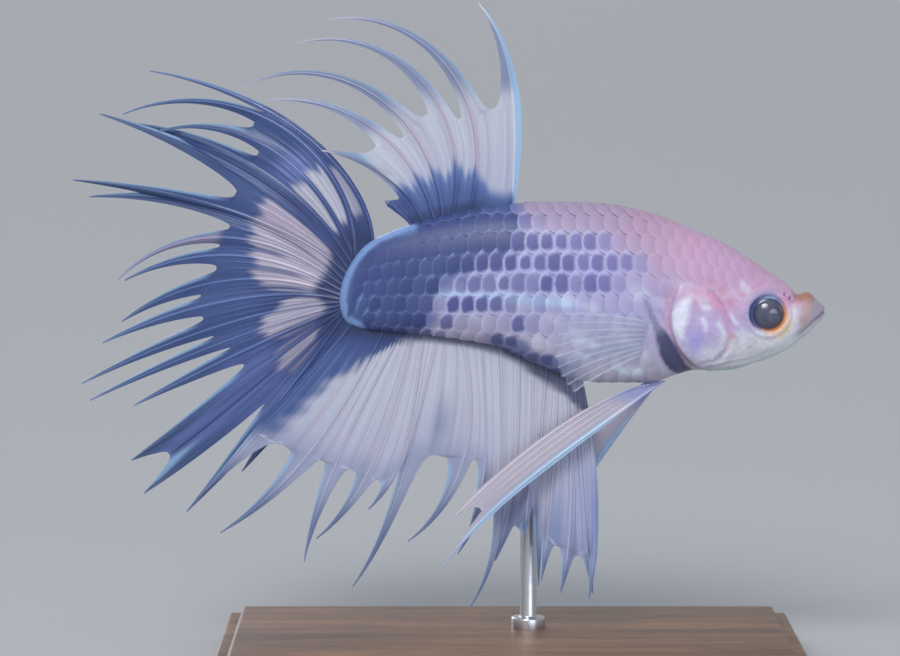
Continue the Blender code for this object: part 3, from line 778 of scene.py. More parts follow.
section_t = np.linspace(SECTION_END, math.pi - SECTION_END, SECTIONS)
section_x = angle_station(section_t)
fine_turn = np.linspace(0.0, math.pi, SECTION_TURNS)
section_points = body_point(section_x[:, None], fine_turn[None, :])
steps = np.linalg.norm(np.diff(section_points[:, :, 1:], axis=1), axis=2)
arcs = np.concatenate((np.zeros((SECTIONS, 1)), np.cumsum(steps, axis=1)), axis=1)
even_shares = np.linspace(0.0, 1.0, SECTION_TURNS)
even_turns = np.array([np.interp(even_shares, arc / arc[-1], fine_turn) for arc in arcs])
spine_down = np.array([np.interp(-read_off(SPINE_ROW, x), -points[:, 2], arc)
                       for x, points, arc in zip(section_x, section_points, arcs)])


def girth(x):
    """Length of the skin from back to belly, on one side."""
    return np.interp(station_angle(x), section_t, arcs[:, -1])


def turn_at(x, down):
    """Turn at a distance down the skin from the back; a negative one is on the other side."""
    row = np.interp(station_angle(x), section_t, np.arange(SECTIONS))
    column = np.clip(np.abs(down) / girth(x), 0.0, 1.0) * (SECTION_TURNS - 1)
    low = np.clip(row.astype(int), 0, SECTIONS - 2)
    left = np.clip(column.astype(int), 0, SECTION_TURNS - 2)
    a, b = row - low, column - left
    near = even_turns[low, left] * (1 - b) + even_turns[low, left + 1] * b
    far = even_turns[low + 1, left] * (1 - b) + even_turns[low + 1, left + 1] * b
    return (near * (1 - a) + far * a) * np.where(np.asarray(down) < 0.0, -1.0, 1.0)


print("girth behind the gill cover: %.1f mm a side" % girth(20.0))

# %% Choose the scales' places
FIRST_COLUMN, LAST_COLUMN, ROWS_EACH_WAY = 35.0, TAIL_X + 0.6, 7
TOP_MARGIN, LOW_MARGIN = 0.22, 0.25                 # of a pitch, kept clear of back and belly
RIDGE_END, BREAST = 9.0, (16.5, 24.5)               # x of the scales that sit astride the fish
PECTORAL_ROOT = ((21.9, 37.6), (21.0, 34.4))        # upper and lower end of the fin's root
# x, and distance from scale to scale along the body and down it
PITCH_ALONG = ((-11.0, 1.10), (-6.0, 1.30), (2.0, 1.50), (22.0, 1.50), (26.0, 1.38), (35.0, 0.95))
PITCH_DOWN = ((-11.0, 1.30), (-4.0, 1.80), (4.0, 2.20), (20.0, 2.20), (26.0, 1.95), (35.0, 1.15))


def wears_scales(x, z):
    """Where the fish has scales: the rest is bare skin."""
    radius, facing = around_gill(x, z)
    gill_opening = (facing > 0.25) & (radius > 5.45) & (radius < 8.3)
    gill_cover = (x > 23.0) & (x < 30.4) & (z < 41.3) & (radius < 6.8)
    cheek = (x > 28.4) & (z < 39.6)
    eye = around_eye(x, z)[0] <= 4.3
    snout = x >= 34.6 - 0.35 * np.abs(z - 41.0)
    throat = (x > 25.2) & (z < 33.6 + 0.05 * (x - 26.0))
    fin_root = line_distance(x, z, PECTORAL_ROOT)[0] <= 0.45
    tail_corner = (x < -8.0) & (z < 38.6)
    tail_rim = line_distance(x, z, RIM)[0] <= 1.15
    head = gill_opening | gill_cover | cheek | eye | snout | throat
    return ~(head | fin_root | tail_corner | tail_rim)


columns = [FIRST_COLUMN]
while columns[-1] > LAST_COLUMN:
    columns.append(columns[-1] - float(read_off(PITCH_ALONG, columns[-1])))
columns = np.array(columns)
between = 0.5 * (columns[1:] + columns[:-1])
places = []
for row in range(-ROWS_EACH_WAY, ROWS_EACH_WAY + 1):
    xs = columns if row % 2 == 0 else between
    pitch = read_off(PITCH_DOWN, xs)
    down = np.interp(station_angle(xs), section_t, spine_down) + row * pitch
    inside = (down > TOP_MARGIN * pitch) & (down < girth(xs) - LOW_MARGIN * pitch)
    places += list(zip(xs[inside], down[inside]))
places = np.array(places)
centre = body_point(places[:, 0], turn_at(places[:, 0], places[:, 1]))
places = places[wears_scales(centre[:, 0], centre[:, 2])]
ridge = np.array([(x, 0.0) for x in between if x > RIDGE_END])
breast = np.array([(x, float(girth(x))) for x in columns if BREAST[0] < x < BREAST[1]])
print(len(places), "scales a side,", len(ridge) + len(breast), "on the middle line")

# %% Shape and colours of every scale
SCALE_LENGTH, SCALE_WIDTH = 1.78, 1.30      # of a plate, in pitches along and across
SIZE_SPREAD, STRAY = 0.03, 0.02             # how plates differ in size, and stray in mm
ROUNDNESS, ROOT_WIDTH = 0.62, 0.80          # of the free edge, and how narrow the root is
TILT, TILT_LOST_ON_HEAD = 0.074, 0.75       # rise of a plate from root to free edge
BULGE, BULGE_LOST_ON_HEAD = 0.05, 0.035     # height of a plate's middle, in mm
LIP = 0.02                                  # how far the free edge turns down, in mm
BAKE_PATCH = 0.003                          # size of each plate's patch on the unwrap
SEEDS = {1.0: 21, -1.0: 22}                 # left, right


def lay_plates(x0, down0, length, width, side):
    """Points of every plate, and the points of the plain form below them."""
    u, v = plate_u[None, :], plate_v[None, :]
    arc = ROUNDNESS * width * (1.0 - np.sqrt(np.maximum(1.0 - 0.97 * u * u, 0.0)))
    behind = v * (length - arc) - 0.5 * length
    across = u * width * (ROOT_WIDTH + (1.0 - ROOT_WIDTH) * smooth(v, 0.0, 0.5))
    x = np.clip(x0 - behind, TAIL_X + 0.15, SNOUT_X - 1.0)
    turn = turn_at(x, down0 + across) * side
    head = smooth(x0, 19.0, 26.0)
    lift = TILT * (1.0 - TILT_LOST_ON_HEAD * head) * (behind + 0.05 * length)
    bulge = (BULGE - BULGE_LOST_ON_HEAD * head) * (1.0 - u * u) * smooth(v, 0.0, 0.4)
    return surface(x, turn, lift + bulge - LIP * (v > 0.99)), body_point(x, turn)


def centre_touch(x, z, jitter):
    """Colour, strength and spread of each plate's dark centre, and how pale its ground turns."""
    navy, sheath = navy_amount(x, z), sheath_amount(x, z)
    dark = np.maximum(spot_amount(x, z), 0.92 * navy)
    dark = np.clip(dark * (1.0 + 0.10 * jitter[:, 0]), 0.0, 1.0) * smooth(x, 24.0, 22.5)
    front = read_off(NAVY_FRONT, z)
    paler = 0.5 * dark * (1.0 - navy) * (1.0 - sheath)
    paler = paler + 0.20 * navy * smooth(x, front - 8.0, front - 2.0)
    wash = Washes(INK, "spot", x)
    wash.lay("violet", 0.75 * smooth(x, 8.0, 19.0))
    wash.lay("dark navy", 0.85 * np.maximum(navy, 0.35 * sheath))
    spread = np.clip(0.38 + 0.16 * jitter[:, 1] + 0.65 * navy, 0.0, 1.0)
    return wash.colour, np.maximum(dark, 0.8 * sheath), spread, paler


# %% Lay the scales
def lay_scales(name, spots, side):
    """One mesh of plates at these places (x, distance down from the back)."""
    x0, down0 = spots[:, :1], spots[:, 1:]
    jitter = np.random.default_rng(SEEDS[side]).normal(0.0, 1.0, (len(spots), 3))
    length = SCALE_LENGTH * read_off(PITCH_ALONG, x0) * (1.0 + SIZE_SPREAD * jitter[:, :1])
    width = 0.5 * SCALE_WIDTH * read_off(PITCH_DOWN, x0) * (1.0 + SIZE_SPREAD * jitter[:, 1:2])
    points, plain = lay_plates(x0, down0 + STRAY * jitter[:, 2:3], length, width, side)
    count, size = points.shape[:2]
    faces = [[corner + first for corner in face]
             for first in range(0, count * size, size) for face in plate_faces]
    piece = new_piece(name, points, faces)
    mesh = piece.data
    if side > 0.0:                          # this side's plates are mirrored
        mesh.flip_normals()

    spot_turn = turn_at(x0[:, 0], down0[:, 0]) * side
    spot = body_point(x0[:, 0], spot_turn)
    touch, dark, spread, paler = centre_touch(spot[:, 0], spot[:, 2], jitter)
    paint(mesh, "marking", lay(ground_colour(plain), INK["net"], paler[:, None]).reshape(-1, 3))
    paint(mesh, "centre", np.repeat(touch, size, axis=0))
    set_values(mesh, "centre_amount", np.repeat(dark, size))
    set_values(mesh, "centre_spread", np.repeat(spread, size))

    loops = corner_vertices(mesh)
    local = np.stack((0.5 + 0.5 * plate_u, plate_v), axis=1)[loops % size]
    set_uv(mesh, "scale", local)
    root_share = station_angle(x0[:, 0] + 0.5 * length[:, 0]) / math.pi
    root = unwrapped(root_share, share_round(spot_turn))[loops // size]
    set_uv(mesh, "OFBake", root + BAKE_PATCH * (local - 0.5))
    pick(piece)
    bpy.ops.object.shade_smooth_by_angle(angle=math.radians(50.0))
    return piece


scales_left = lay_scales("scales_left", np.concatenate((places, ridge)), 1.0)
scales_right = lay_scales("scales_right", np.concatenate((places, breast)), -1.0)
print("laid", len(places) + len(ridge), "scales left and", len(places) + len(breast), "right")

# %% [markdown]
# ## Scale finish
# Each plate is painted pale and touched in its centre with the dark colour.  The touch is an
# oval on the plate's own unwrap, placed where the plate shows behind its neighbours.  Growth
# rings are much finer on a real scale.  Here they stand 0.1 to 0.25 mm apart, to show at all.

# %% Scale material
OVAL_CENTRE, OVAL_REACH = (0.5, 0.71), (0.31, 0.225)        # on the plate's own unwrap
RING_RIPPLE = 30.0                  # radians of the rings' wave from the centre to the oval's edge


def painted_scales():
    """Painted resin plates under satin varnish, each with a dark touch at its centre."""
    finish, tree = new_material("varnished_painted_scales")
    local = add(tree, "SeparateXYZ", {"Vector": add(tree, "UVMap", uv_map="scale")})
    flat = add(tree, "CombineXYZ", {
        axis: add(tree, "MapRange", {"Value": local.outputs[axis], "From Min": centre,
                                     "From Max": centre + reach}, clamp=False)
        for axis, centre, reach in zip("XY", OVAL_CENTRE, OVAL_REACH)})

    # distance from the oval's centre: the fourth power makes the oval a little square
    squares = add(tree, "VectorMath", {0: flat, 1: flat}, operation="MULTIPLY")
    fourths = add(tree, "VectorMath", {0: squares, 1: squares}, operation="MULTIPLY")
    reach = add(tree, "VectorMath", {0: fourths, 1: (1.0, 1.0, 1.0)}, operation="DOT_PRODUCT")
    reach = add(tree, "Math", {0: reach, 1: 0.25}, operation="POWER")
    spread = add(tree, "Attribute", attribute_name="centre_spread").outputs["Fac"]
    shrink = add(tree, "MapRange", {"Value": spread, "To Min": 1.12, "To Max": 0.72})
    reach = add(tree, "Math", {0: reach, 1: shrink}, operation="MULTIPLY")

    # the touch, with a ragged edge
    place = add(tree, "TexCoord").outputs["Object"]
    ragged = add(tree, "TexNoise", {"Vector": place, "Scale": 1800.0, "Detail": 2.0})
    edge = add(tree, "Math", {0: ragged, 1: 0.5, 2: reach}, operation="MULTIPLY_ADD")
    oval = add(tree, "MapRange", {"Value": edge, "From Min": 1.55, "From Max": 0.95},
               interpolation_type="SMOOTHSTEP")
    amount = add(tree, "Attribute", attribute_name="centre_amount").outputs["Fac"]
    mask = add(tree, "Math", {0: oval, 1: amount}, operation="MULTIPLY")
    ground = add(tree, "Attribute", attribute_name="marking")
    touch = add(tree, "Attribute", attribute_name="centre")
    mixed = add(tree, "Mix", {0: mask, 6: ground, 7: touch}, data_type="RGBA")
    # painted shade and highlight: each plate darker towards its root, where the plate ahead
    # overlaps it, and lighter at its free edge
    rim = add(tree, "MapRange", {"Value": local.outputs["Y"], "From Min": 0.50, "From Max": 0.98,
                                 "To Min": 0.92, "To Max": 1.06})
    shaded = add(tree, "VectorMath", {0: mixed, "Scale": rim}, operation="SCALE")

    # growth rings
    wave = add(tree, "Math", {0: reach, 1: RING_RIPPLE}, operation="MULTIPLY")
    wave = add(tree, "Math", {0: wave}, operation="SINE")
    bump = add(tree, "Bump", {"Height": wave, "Strength": 0.12, "Distance": 0.01 * MM})
    shader = add(tree, "BsdfPrincipled", {
        "Base Color": shaded, "Normal": bump, "Roughness": 0.5, "Specular IOR Level": 0.38,
        "Coat Weight": 0.10, "Coat Roughness": 0.3})
    add(tree, "OutputMaterial", {"Surface": shader})
    return finish


scale_finish = painted_scales()
for piece in (scales_left, scales_right):
    declare(piece, scale_finish, "skin")

# %% [markdown]
# ## Fins
# A crowntail's fins are thin skin stretched on bony rays that run on past the skin's edge as
# free spikes.  Each ray is a path that starts along one heading and curls to another.  A grid
# is laid over each ray, three parts wide: the ray in the middle and half of the web to each
# neighbour.  Beyond the notch its sides close in on the spike.  The panels are joined, their
# shared edges merged, and Solidify gives the skin its thickness: most at the rays.

# %% Ray tables
# base, start and end heading, how late it curls, length, web to the next ray, half width
CAUDAL = (
    (-0.08, 72, 172, 0.42, 32.5, 18.5, 0.40), (0.06, 90, 203, 0.85, 33.5, 17.5, 0.45),
    (0.11, 113, 200, 1.30, 27.5, 14.5, 0.40), (0.17, 122, 175, 0.90, 28.5, 22.0, 0.50),
    (0.24, 124, 164, 0.55, 31.2, 13.8, 0.60), (0.31, 135, 177, 0.50, 31.0, 23.0, 0.50),
    (0.38, 136, 184, 0.70, 29.0, 12.8, 0.50), (0.45, 144, 226, 1.20, 26.0, 13.2, 0.40),
    (0.52, 150, 210, 1.00, 24.0, 13.0, 0.60), (0.59, 160, 216, 0.90, 24.5, 14.5, 0.80),
    (0.65, 168, 207, 0.60, 26.2, 14.3, 0.70), (0.71, 183, 209, 0.60, 29.5, 13.5, 0.70),
    (0.77, 194, 208, 0.70, 29.0, 12.0, 0.60), (0.82, 202, 209, 0.60, 24.5, 11.5, 0.80),
    (0.87, 217, 216, 1.00, 28.0, 24.0, 0.90), (0.91, 226, 217, 2.00, 29.0, 12.2, 0.90),
    (0.98, 234, 229, 1.00, 27.0, 14.2, 1.00), (1.08, 236, 233, 1.00, 20.8, 0.0, 0.70),
)
DORSAL = (
    (7.2, 88, 130, 2.50, 21.5, 10.0, 0.80), (2.8, 76, 190, 1.20, 29.5, 9.5, 0.55),
    (1.0, 80, 196, 1.15, 29.0, 10.6, 0.50), (-0.2, 97, 210, 1.15, 30.0, 8.9, 0.50),
    (-1.2, 105, 186, 1.00, 23.0, 9.3, 0.45), (-2.4, 118, 172, 0.90, 13.2, 2.8, 0.40),
    (-3.8, 128, 150, 1.00, 3.3, 0.0, 0.35),
)
ANAL = (
    (-10.1, 231, 227, 0.70, 24.6, 15.3, 0.60), (-6.6, 243, 212, 1.60, 28.3, 15.5, 0.70),
    (-4.8, 243, 260, 3.00, 26.4, 15.5, 0.60), (-3.4, 256, 220, 2.20, 24.6, 16.0, 0.50),
    (-2.2, 262, 222, 3.00, 19.6, 14.0, 0.35), (-0.8, 257, 234, 3.00, 28.2, 12.4, 0.60),
    (2.0, 280, 216, 1.50, 23.4, 12.2, 0.50), (4.0, 274, 236, 2.50, 22.5, 16.5, 0.50),
    (6.0, 272, 236, 3.00, 28.0, 17.8, 0.45), (7.9, 270, 250, 2.00, 21.8, 17.4, 0.60),
    (9.4, 270, 264, 1.00, 17.8, 14.8, 0.40), (10.8, 265, 271, 1.00, 22.8, 17.0, 0.45),
    (12.0, 269, 262, 1.00, 21.8, 17.8, 0.40), (13.0, 273, 256, 2.50, 22.6, 18.6, 0.45),
    (13.8, 273, 277, 1.00, 22.6, 18.0, 0.35), (14.6, 280, 262, 1.20, 22.8, 0.0, 0.40),
)
PELVIC_NEAR = ((20.6, 188, 226, 0.40, 24.5, 22.0, 0.30), (22.3, 215, 236, 3.00, 29.5, 0.0, 0.40))
PELVIC_FAR = ((21.1, 212, 232, 0.60, 15.0, 14.0, 0.30), (22.5, 231, 240, 1.00, 19.0, 0.0, 0.35))
GAP = 0.3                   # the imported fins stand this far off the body
ROOT_DEPTH = 1.1            # these fins are rooted this far inside their own start
RIM_START, RIM_BACK_SHARE = 0.855, 0.68


def stalk_rim(share):
    """Point just outside the tail stalk's rear outline, from its top (0) to its bottom (1)."""
    def outline(s):
        upper = s < RIM_BACK_SHARE
        t = (RIM_START + (1.0 - RIM_START) * s / RIM_BACK_SHARE if upper
             else 1.0 - (1.0 - RIM_START) * 0.5 * (s - RIM_BACK_SHARE) / (1.0 - RIM_BACK_SHARE))
        x = angle_station(math.pi * t)
        return np.array((x, float(back(x) if upper else belly(x))))
    ahead = outline(min(share + 0.02, 1.0)) - outline(max(share - 0.02, 0.0))
    ahead /= np.linalg.norm(ahead)
    return outline(share) + 2.0 * GAP * np.array((ahead[1], -ahead[0]))


print("rays:", len(CAUDAL), "tail,", len(DORSAL), "dorsal,", len(ANAL), "anal")


# %% Path of a ray
PATH_STEPS = 120
WEB_ROWS, SPIKE_ROWS = 40, 30
TIP_HALF_WIDTH, RAY_HALF_WIDTH = 0.06, 0.16
WEB_PLACES = (0.30, 0.40, 0.46, 0.50, 0.54, 0.62, 0.76, 0.90, 0.96, 1.0)    # across half a web
# share of the web's depth at each row, of which the first is inside the body
WEB_SHARE = np.concatenate(([-1.0], np.linspace(0.0, 1.0, WEB_ROWS + 1) ** 0.85))
WEB_COUNT = len(WEB_SHARE)
# rows of the spike as steps of a quarter turn, closest together at the notch
QUARTER = 0.5 * math.pi * np.arange(1, SPIKE_ROWS + 1) / SPIKE_ROWS
SPIKE_SHARE = 1.0 - np.cos(QUARTER)


def ray_path(ray, root):
    """Distances, side-view points and headings along a ray, from inside the body to its tip."""
    _, start, end, bend, length = ray[:5]
    share = ((np.arange(PATH_STEPS) + 0.5) / PATH_STEPS) ** bend
    heading = np.radians(start + (end - start) * share)
    step = length / PATH_STEPS
    moves = step * np.stack((np.cos(heading), np.sin(heading)), axis=1)
    points = np.vstack((np.zeros(2), np.cumsum(moves, axis=0))) + np.asarray(root)
    points = np.vstack((points[0] - ROOT_DEPTH * moves[0] / step, points))
    distance = np.concatenate(([-ROOT_DEPTH], np.arange(PATH_STEPS + 1) * step))
    return distance, points, np.concatenate(([heading[0], heading[0]], heading))


def path_at(path, distance):
    """Point, and the side-view direction across the ray, at distances along it."""
    along, points, heading = path
    x = np.interp(distance, along, points[:, 0])
    z = np.interp(distance, along, points[:, 1])
    angle = np.interp(distance, along, heading)
    return x, z, -np.sin(angle), np.cos(angle)


def rows_out(length, limit):
    """Distances along a ray of a panel's rows: over the web to its notch, then the spike."""
    web = np.where(WEB_SHARE < 0.0, -ROOT_DEPTH, WEB_SHARE * limit)
    return np.concatenate((web, limit + (length - limit) * SPIKE_SHARE))


print("rows from root to tip:", WEB_COUNT + SPIKE_ROWS)


# %% Edges and columns of a panel
def close_on_spike(edge, point, across, distance, taper, side):
    """Brings a panel's edge in on its ray beyond the notch, in a round curve."""
    last = WEB_COUNT - 1
    reach = edge[last] - point[last]
    wide = float(np.linalg.norm(reach))
    closed = np.sin(QUARTER) ** (0.6 + 0.4 * float(smooth(wide, 1.2, 0.5)))
    settled = np.sin(QUARTER) ** 1.4                    # slower sideways, so no crease runs in
    # The web's last point may lie ahead of the ray's.  The edge waits there, never turns back.
    along = np.stack((across[:, 2], across[:, 1], -across[:, 0]), axis=1)
    ahead = max(float(np.dot(reach, along[last])), 0.0)
    reach = reach - ahead * along[last]
    wait = np.maximum(ahead - (distance[WEB_COUNT:] - distance[last]), 0.0)
    spike = slice(WEB_COUNT, None)
    edge[spike] = (point[spike] + reach * (1.0 - closed)[:, None]
                   + wait[:, None] * along[spike]
                   + side * (taper * closed)[:, None] * across[spike])
    edge[spike, 1] = point[spike, 1] + reach[1] * (1.0 - settled)


def fill_columns(middle, middle_out, sides, webs):
    """Columns of a panel from one edge over the ray to the other, and where they lie."""
    grid, across, out, share = [], [], [], []
    for side, (edge, edge_out) in sides.items():
        gap = np.maximum(np.linalg.norm(edge - middle, axis=1), 1e-6)
        core = np.minimum(RAY_HALF_WIDTH, 0.19 * gap)
        columns = [part * core / gap for part in (0.5, 1.0, 1.5)]
        columns += [np.full_like(gap, c) for c in WEB_PLACES]
        columns = [np.zeros_like(gap)] + columns if side > 0 else columns[::-1]
        for c in columns:
            point = middle + (edge - middle) * c[:, None]
            if side in webs:
                swing = c * c * (3.0 - 2.0 * c)
                curved = middle[:, 1] + (edge[:, 1] - middle[:, 1]) * swing
                point[:, 1] = 0.5 * (point[:, 1] + curved)
            grid.append(point)
            across.append(side * c * gap)
            out.append(middle_out + (edge_out - middle_out) * c)
            share.append(side * c)
    return {"points": np.array(grid), "across": np.array(across), "out": np.array(out),
            "share": np.array(share)}


# %% Panels of a fin
def fin_panels(rays, roots, sideways, billow=0.25):
    """Points, and what the colours need to know of them, of every panel of a fin."""
    paths = [ray_path(ray, root) for ray, root in zip(rays, roots)]

    def on_ray(i, distance):
        x, z, across_x, across_z = path_at(paths[i], distance)
        share = np.clip(distance / rays[i][4], 0.0, 1.0)
        across = np.stack((across_x, np.zeros_like(x), across_z), axis=1)
        return np.stack((x, sideways(x, i, share), z), axis=1), across

    panels = []
    for i, ray in enumerate(rays):
        length, half = ray[4], ray[6]
        webs = {side: k for side, k in ((-1, i - 1), (1, i)) if 0 <= k < len(rays) - 1}
        limits = {side: rays[k][5] for side, k in webs.items()}
        notch = min(limits.values())
        taper = TIP_HALF_WIDTH + (half - TIP_HALF_WIDTH) * (1.0 - SPIKE_SHARE)
        middle_out = rows_out(length, notch)
        middle, _ = on_ray(i, middle_out)
        sides = {}
        for side in (-1, 1):
            out = rows_out(length, limits.get(side, notch))
            point, across = on_ray(i, out)
            if side in webs:
                web = webs[side]
                near, far = (on_ray(k, out[:WEB_COUNT])[0] for k in (web, web + 1))
                edge = point.copy()
                edge[:WEB_COUNT] = 0.5 * (near + far)
                swell = billow * (1.0 if web % 2 else -0.7)
                edge[:WEB_COUNT, 1] += swell * np.clip(WEB_SHARE, 0.0, 1.0) ** 1.5
                close_on_spike(edge, point, across, out, taper, side)
            else:
                width = np.concatenate((half * np.clip(0.4 + WEB_SHARE, 0.4, 1.0), taper))
                edge = point + side * width[:, None] * across
            sides[side] = (edge, out)
        panels.append({"ray": i, "notch": notch, "length": length, "limits": limits,
                       **fill_columns(middle, middle_out, sides, webs)})
    return panels


# %% Join the panels into a fin
MEMBRANE, RAY_THICKNESS = 0.10, 0.36
RAY_NARROWING, RAY_THINNING = 0.3, 0.6      # shares that a ray loses by its tip
FINE_RAY = 0.09                             # added where the web has a fine ray of its own
THINNEST = 0.12                             # as a share of a ray's thickness
MERGE_DISTANCE = 0.004
THICKNESS_STEPS = 50                        # the thickness is given in this many steps


def measures(panel):
    """What colours and thickness go by, at every point of a panel."""
    share, across, out = panel["share"], panel["across"], panel["out"]
    notch, length, limits = panel["notch"], panel["length"], panel["limits"]
    limit = np.where(share < 0.0, limits.get(-1, notch), limits.get(1, notch))
    limit = notch + (limit - notch) * np.abs(share)
    depth = out / limit
    along = np.clip(out / length, 0.0, 1.0)
    core = RAY_HALF_WIDTH * (1.0 - RAY_NARROWING * along)
    ray = np.sqrt(np.clip(1.0 - 0.9 * (across / core) ** 2, 0.0, 1.0))
    ray = ray * (np.abs(across) < 1.2 * core)
    fine = hump(np.abs(share) - 0.5, 0.05) + hump(np.abs(share) - 1.0, 0.05)
    fine = fine * smooth(depth, 0.98, 0.75) * smooth(depth, 0.05, 0.3)
    thick = MEMBRANE + (RAY_THICKNESS * (1.0 - RAY_THINNING * along) - MEMBRANE) * ray
    return SimpleNamespace(
        lane=panel["ray"] + 0.5 * share,            # counted in rays
        share=share,                                # -1 and 1 at the panel's edges
        across=across, out=out,                     # mm from the ray, and along it
        depth=depth,                                # 1 at the notch
        beyond=np.clip((out - limit) / np.maximum(length - limit, 0.1), 0.0, 1.0),
        ray=ray,                                    # 1 on the ray
        ridge=np.clip(ray + 0.5 * fine, 0.0, 1.0),
        weight=(thick + FINE_RAY * fine * (1.0 - ray)) / RAY_THICKNESS,
    )


def build_fin(name, panels, colour_of, scale=1.0):
    """Joins the panels at their shared edges, paints them and thickens them, times scale."""
    columns, rows = panels[0]["points"].shape[:2]
    corner = np.arange(columns - 1)[:, None] * rows + np.arange(rows - 1)[None, :]
    quads = np.stack((corner, corner + 1, corner + rows + 1, corner + rows), axis=-1)
    quads = quads.reshape(-1, 4)
    faces = np.concatenate([quads + k * columns * rows for k in range(len(panels))])
    points = np.concatenate([panel["points"].reshape(-1, 3) for panel in panels])
    piece = new_piece(name, points, faces.tolist())
    webs = [measures(panel) for panel in panels]
    paint(piece.data, "marking", np.concatenate([colour_of(web).reshape(-1, 3) for web in webs]))

    def joined(measure):
        return np.concatenate([getattr(web, measure).ravel() for web in webs])

    for measure in ("across", "out", "ridge"):
        set_values(piece.data, measure, joined(measure))
    group = piece.vertex_groups.new(name="thickness")
    weight = np.clip(joined("weight") * scale, THINNEST, 1.0)
    level = np.round(weight * THICKNESS_STEPS).astype(int)
    for step in np.unique(level):
        group.add(np.nonzero(level == step)[0].tolist(), step / THICKNESS_STEPS, "REPLACE")
    pick(piece)
    bpy.ops.object.mode_set(mode="EDIT")
    bpy.ops.mesh.select_all(action="SELECT")
    bpy.ops.mesh.remove_doubles(threshold=MERGE_DISTANCE * MM)
    face_outward()
    wall = piece.modifiers.new("Wall", "SOLIDIFY")
    wall.thickness = RAY_THICKNESS * MM
    wall.offset = 0.0
    wall.vertex_group = "thickness"
    apply_modifiers(piece)
    bpy.ops.object.shade_smooth_by_angle(angle=math.radians(60.0))
    return piece


print("fin walls: %.2f mm, and %.2f mm at a ray's root" % (MEMBRANE, RAY_THICKNESS))

# %% [markdown]
# ## Colours of the fins
# The web is pearly white with fine pink lines.  Navy runs out from the body along the rays and
# comes back as a broad royal blue band before the notches, and the spikes are blue with a paler
# upper edge.  Each fin has its own rule for where the dark begins and ends, counted along the
# rays, so that the colours follow the rays as they do on the animal.

# %% Fin palette
FIN = {name: linear(code) for name, code in {
    "pearl": "#d0d5e2", "pink": "#b0a0ba", "lavender": "#b7bbda", "grey blue": "#8b99bd",
    "royal": "#51689f", "navy": "#43568f", "dark": "#36446f", "spike": "#4e6392", "tip": "#5f7190",
    "cyan": "#a9d2f2", "steel": "#7d8fb5", "soft blue": "#8ea2dc", "pale pink": "#cdbccb",
    "lilac": "#bdb2c8", "flame": "#6f89c4", "peri": "#7d8ccc",
}.items()}


def fine_lines(web, pitch, seed):
    """Thin lines that run out along the web, between 0 and 1; the pitch is counted in rays."""
    phase = np.random.default_rng(seed).uniform(0.0, 6.28, 4)
    turns = web.lane * 2.0 * math.pi / pitch
    wave = np.sin(turns + phase[0]) + 0.6 * np.sin(turns / 0.37 + phase[1] + 2.0 * web.depth)
    return smooth(wave, 0.2, 1.3)


def brighten_spikes(wash, web, much):
    """A paler line along the upper edge of each spike."""
    line = smooth(web.share, -0.45, -0.9) * smooth(web.beyond, 0.0, 0.15)
    wash.lay("cyan", much * line * smooth(web.beyond, 1.0, 0.6))


print(len(FIN), "fin colours")

# %% Tail fin
# lane, start and end of its pale window in mm from the body, and how clear the window is
CAUDAL_WINDOWS = (
    (0.0, 3.6, 9.0, 0.0), (0.3, 3.6, 9.2, 0.65), (0.7, 3.4, 9.4, 0.75), (1.0, 3.2, 9.5, 0.9),
    (2.0, 2.8, 9.3, 1.0), (3.0, 2.4, 8.8, 0.9), (3.1, 2.4, 8.8, 0.0), (3.9, 1.6, 10.0, 0.0),
    (4.0, 1.6, 10.4, 0.9), (5.0, 1.4, 10.5, 1.0), (6.0, 1.3, 10.4, 1.0), (7.0, 1.3, 10.0, 1.0),
    (8.0, 1.6, 9.0, 1.0), (9.0, 2.0, 8.5, 1.0), (9.6, 2.0, 7.0, 0.6), (10.0, 1.5, 3.0, 0.6),
    (10.5, 1.2, 5.2, 0.9), (11.5, 0.8, 7.9, 1.0), (12.5, 0.9, 8.1, 1.0), (13.0, 1.4, 7.6, 0.9),
    (13.4, 2.5, 6.0, 0.2), (13.7, 2.6, 7.0, 0.3), (14.1, 2.4, 8.0, 0.8), (14.7, 2.8, 8.2, 0.75),
    (15.2, 3.0, 7.8, 0.55), (15.6, 3.0, 7.0, 0.1), (17.0, 3.0, 7.0, 0.0),
)
# how dark each ray is where it crosses its window
CAUDAL_INK = (1.0, 1.0, 1.0, 1.0, 1.0, 0.3, 0.35, 0.2, 0.0,
              0.0, 0.8, 0.35, 0.25, 0.85, 0.9, 0.8, 1.0, 1.0)
DARK_LANES = ((7.45, 4.8), (8.45, 2.2), (9.5, 1.6), (13.5, 1.0))    # lane, start


def caudal_window(web):
    """How clear the pale window between the dark root and the dark band is."""
    lane, out = web.lane, web.out
    wobble = 0.35 * np.sin(lane * 7.3 + 1.0) + 0.25 * np.sin(lane * 17.0)
    lanes, starts, ends, clears = zip(*CAUDAL_WINDOWS)
    start = np.interp(lane, lanes, starts) + 0.5 * wobble
    end = np.interp(lane, lanes, ends) + wobble
    window = smooth(out, start - 0.5, start + 0.6) * smooth(out, end + 0.7, end - 0.6)
    ink = np.interp(lane, range(len(CAUDAL)), CAUDAL_INK)
    ink = ink * smooth(np.abs(web.across), 0.50, 0.22)
    for place, begin in DARK_LANES:
        ink = np.maximum(ink, 0.85 * hump(lane - place, 0.13) * smooth(out, begin, begin + 2.5))
    return window * np.interp(lane, lanes, clears) * (1.0 - ink)


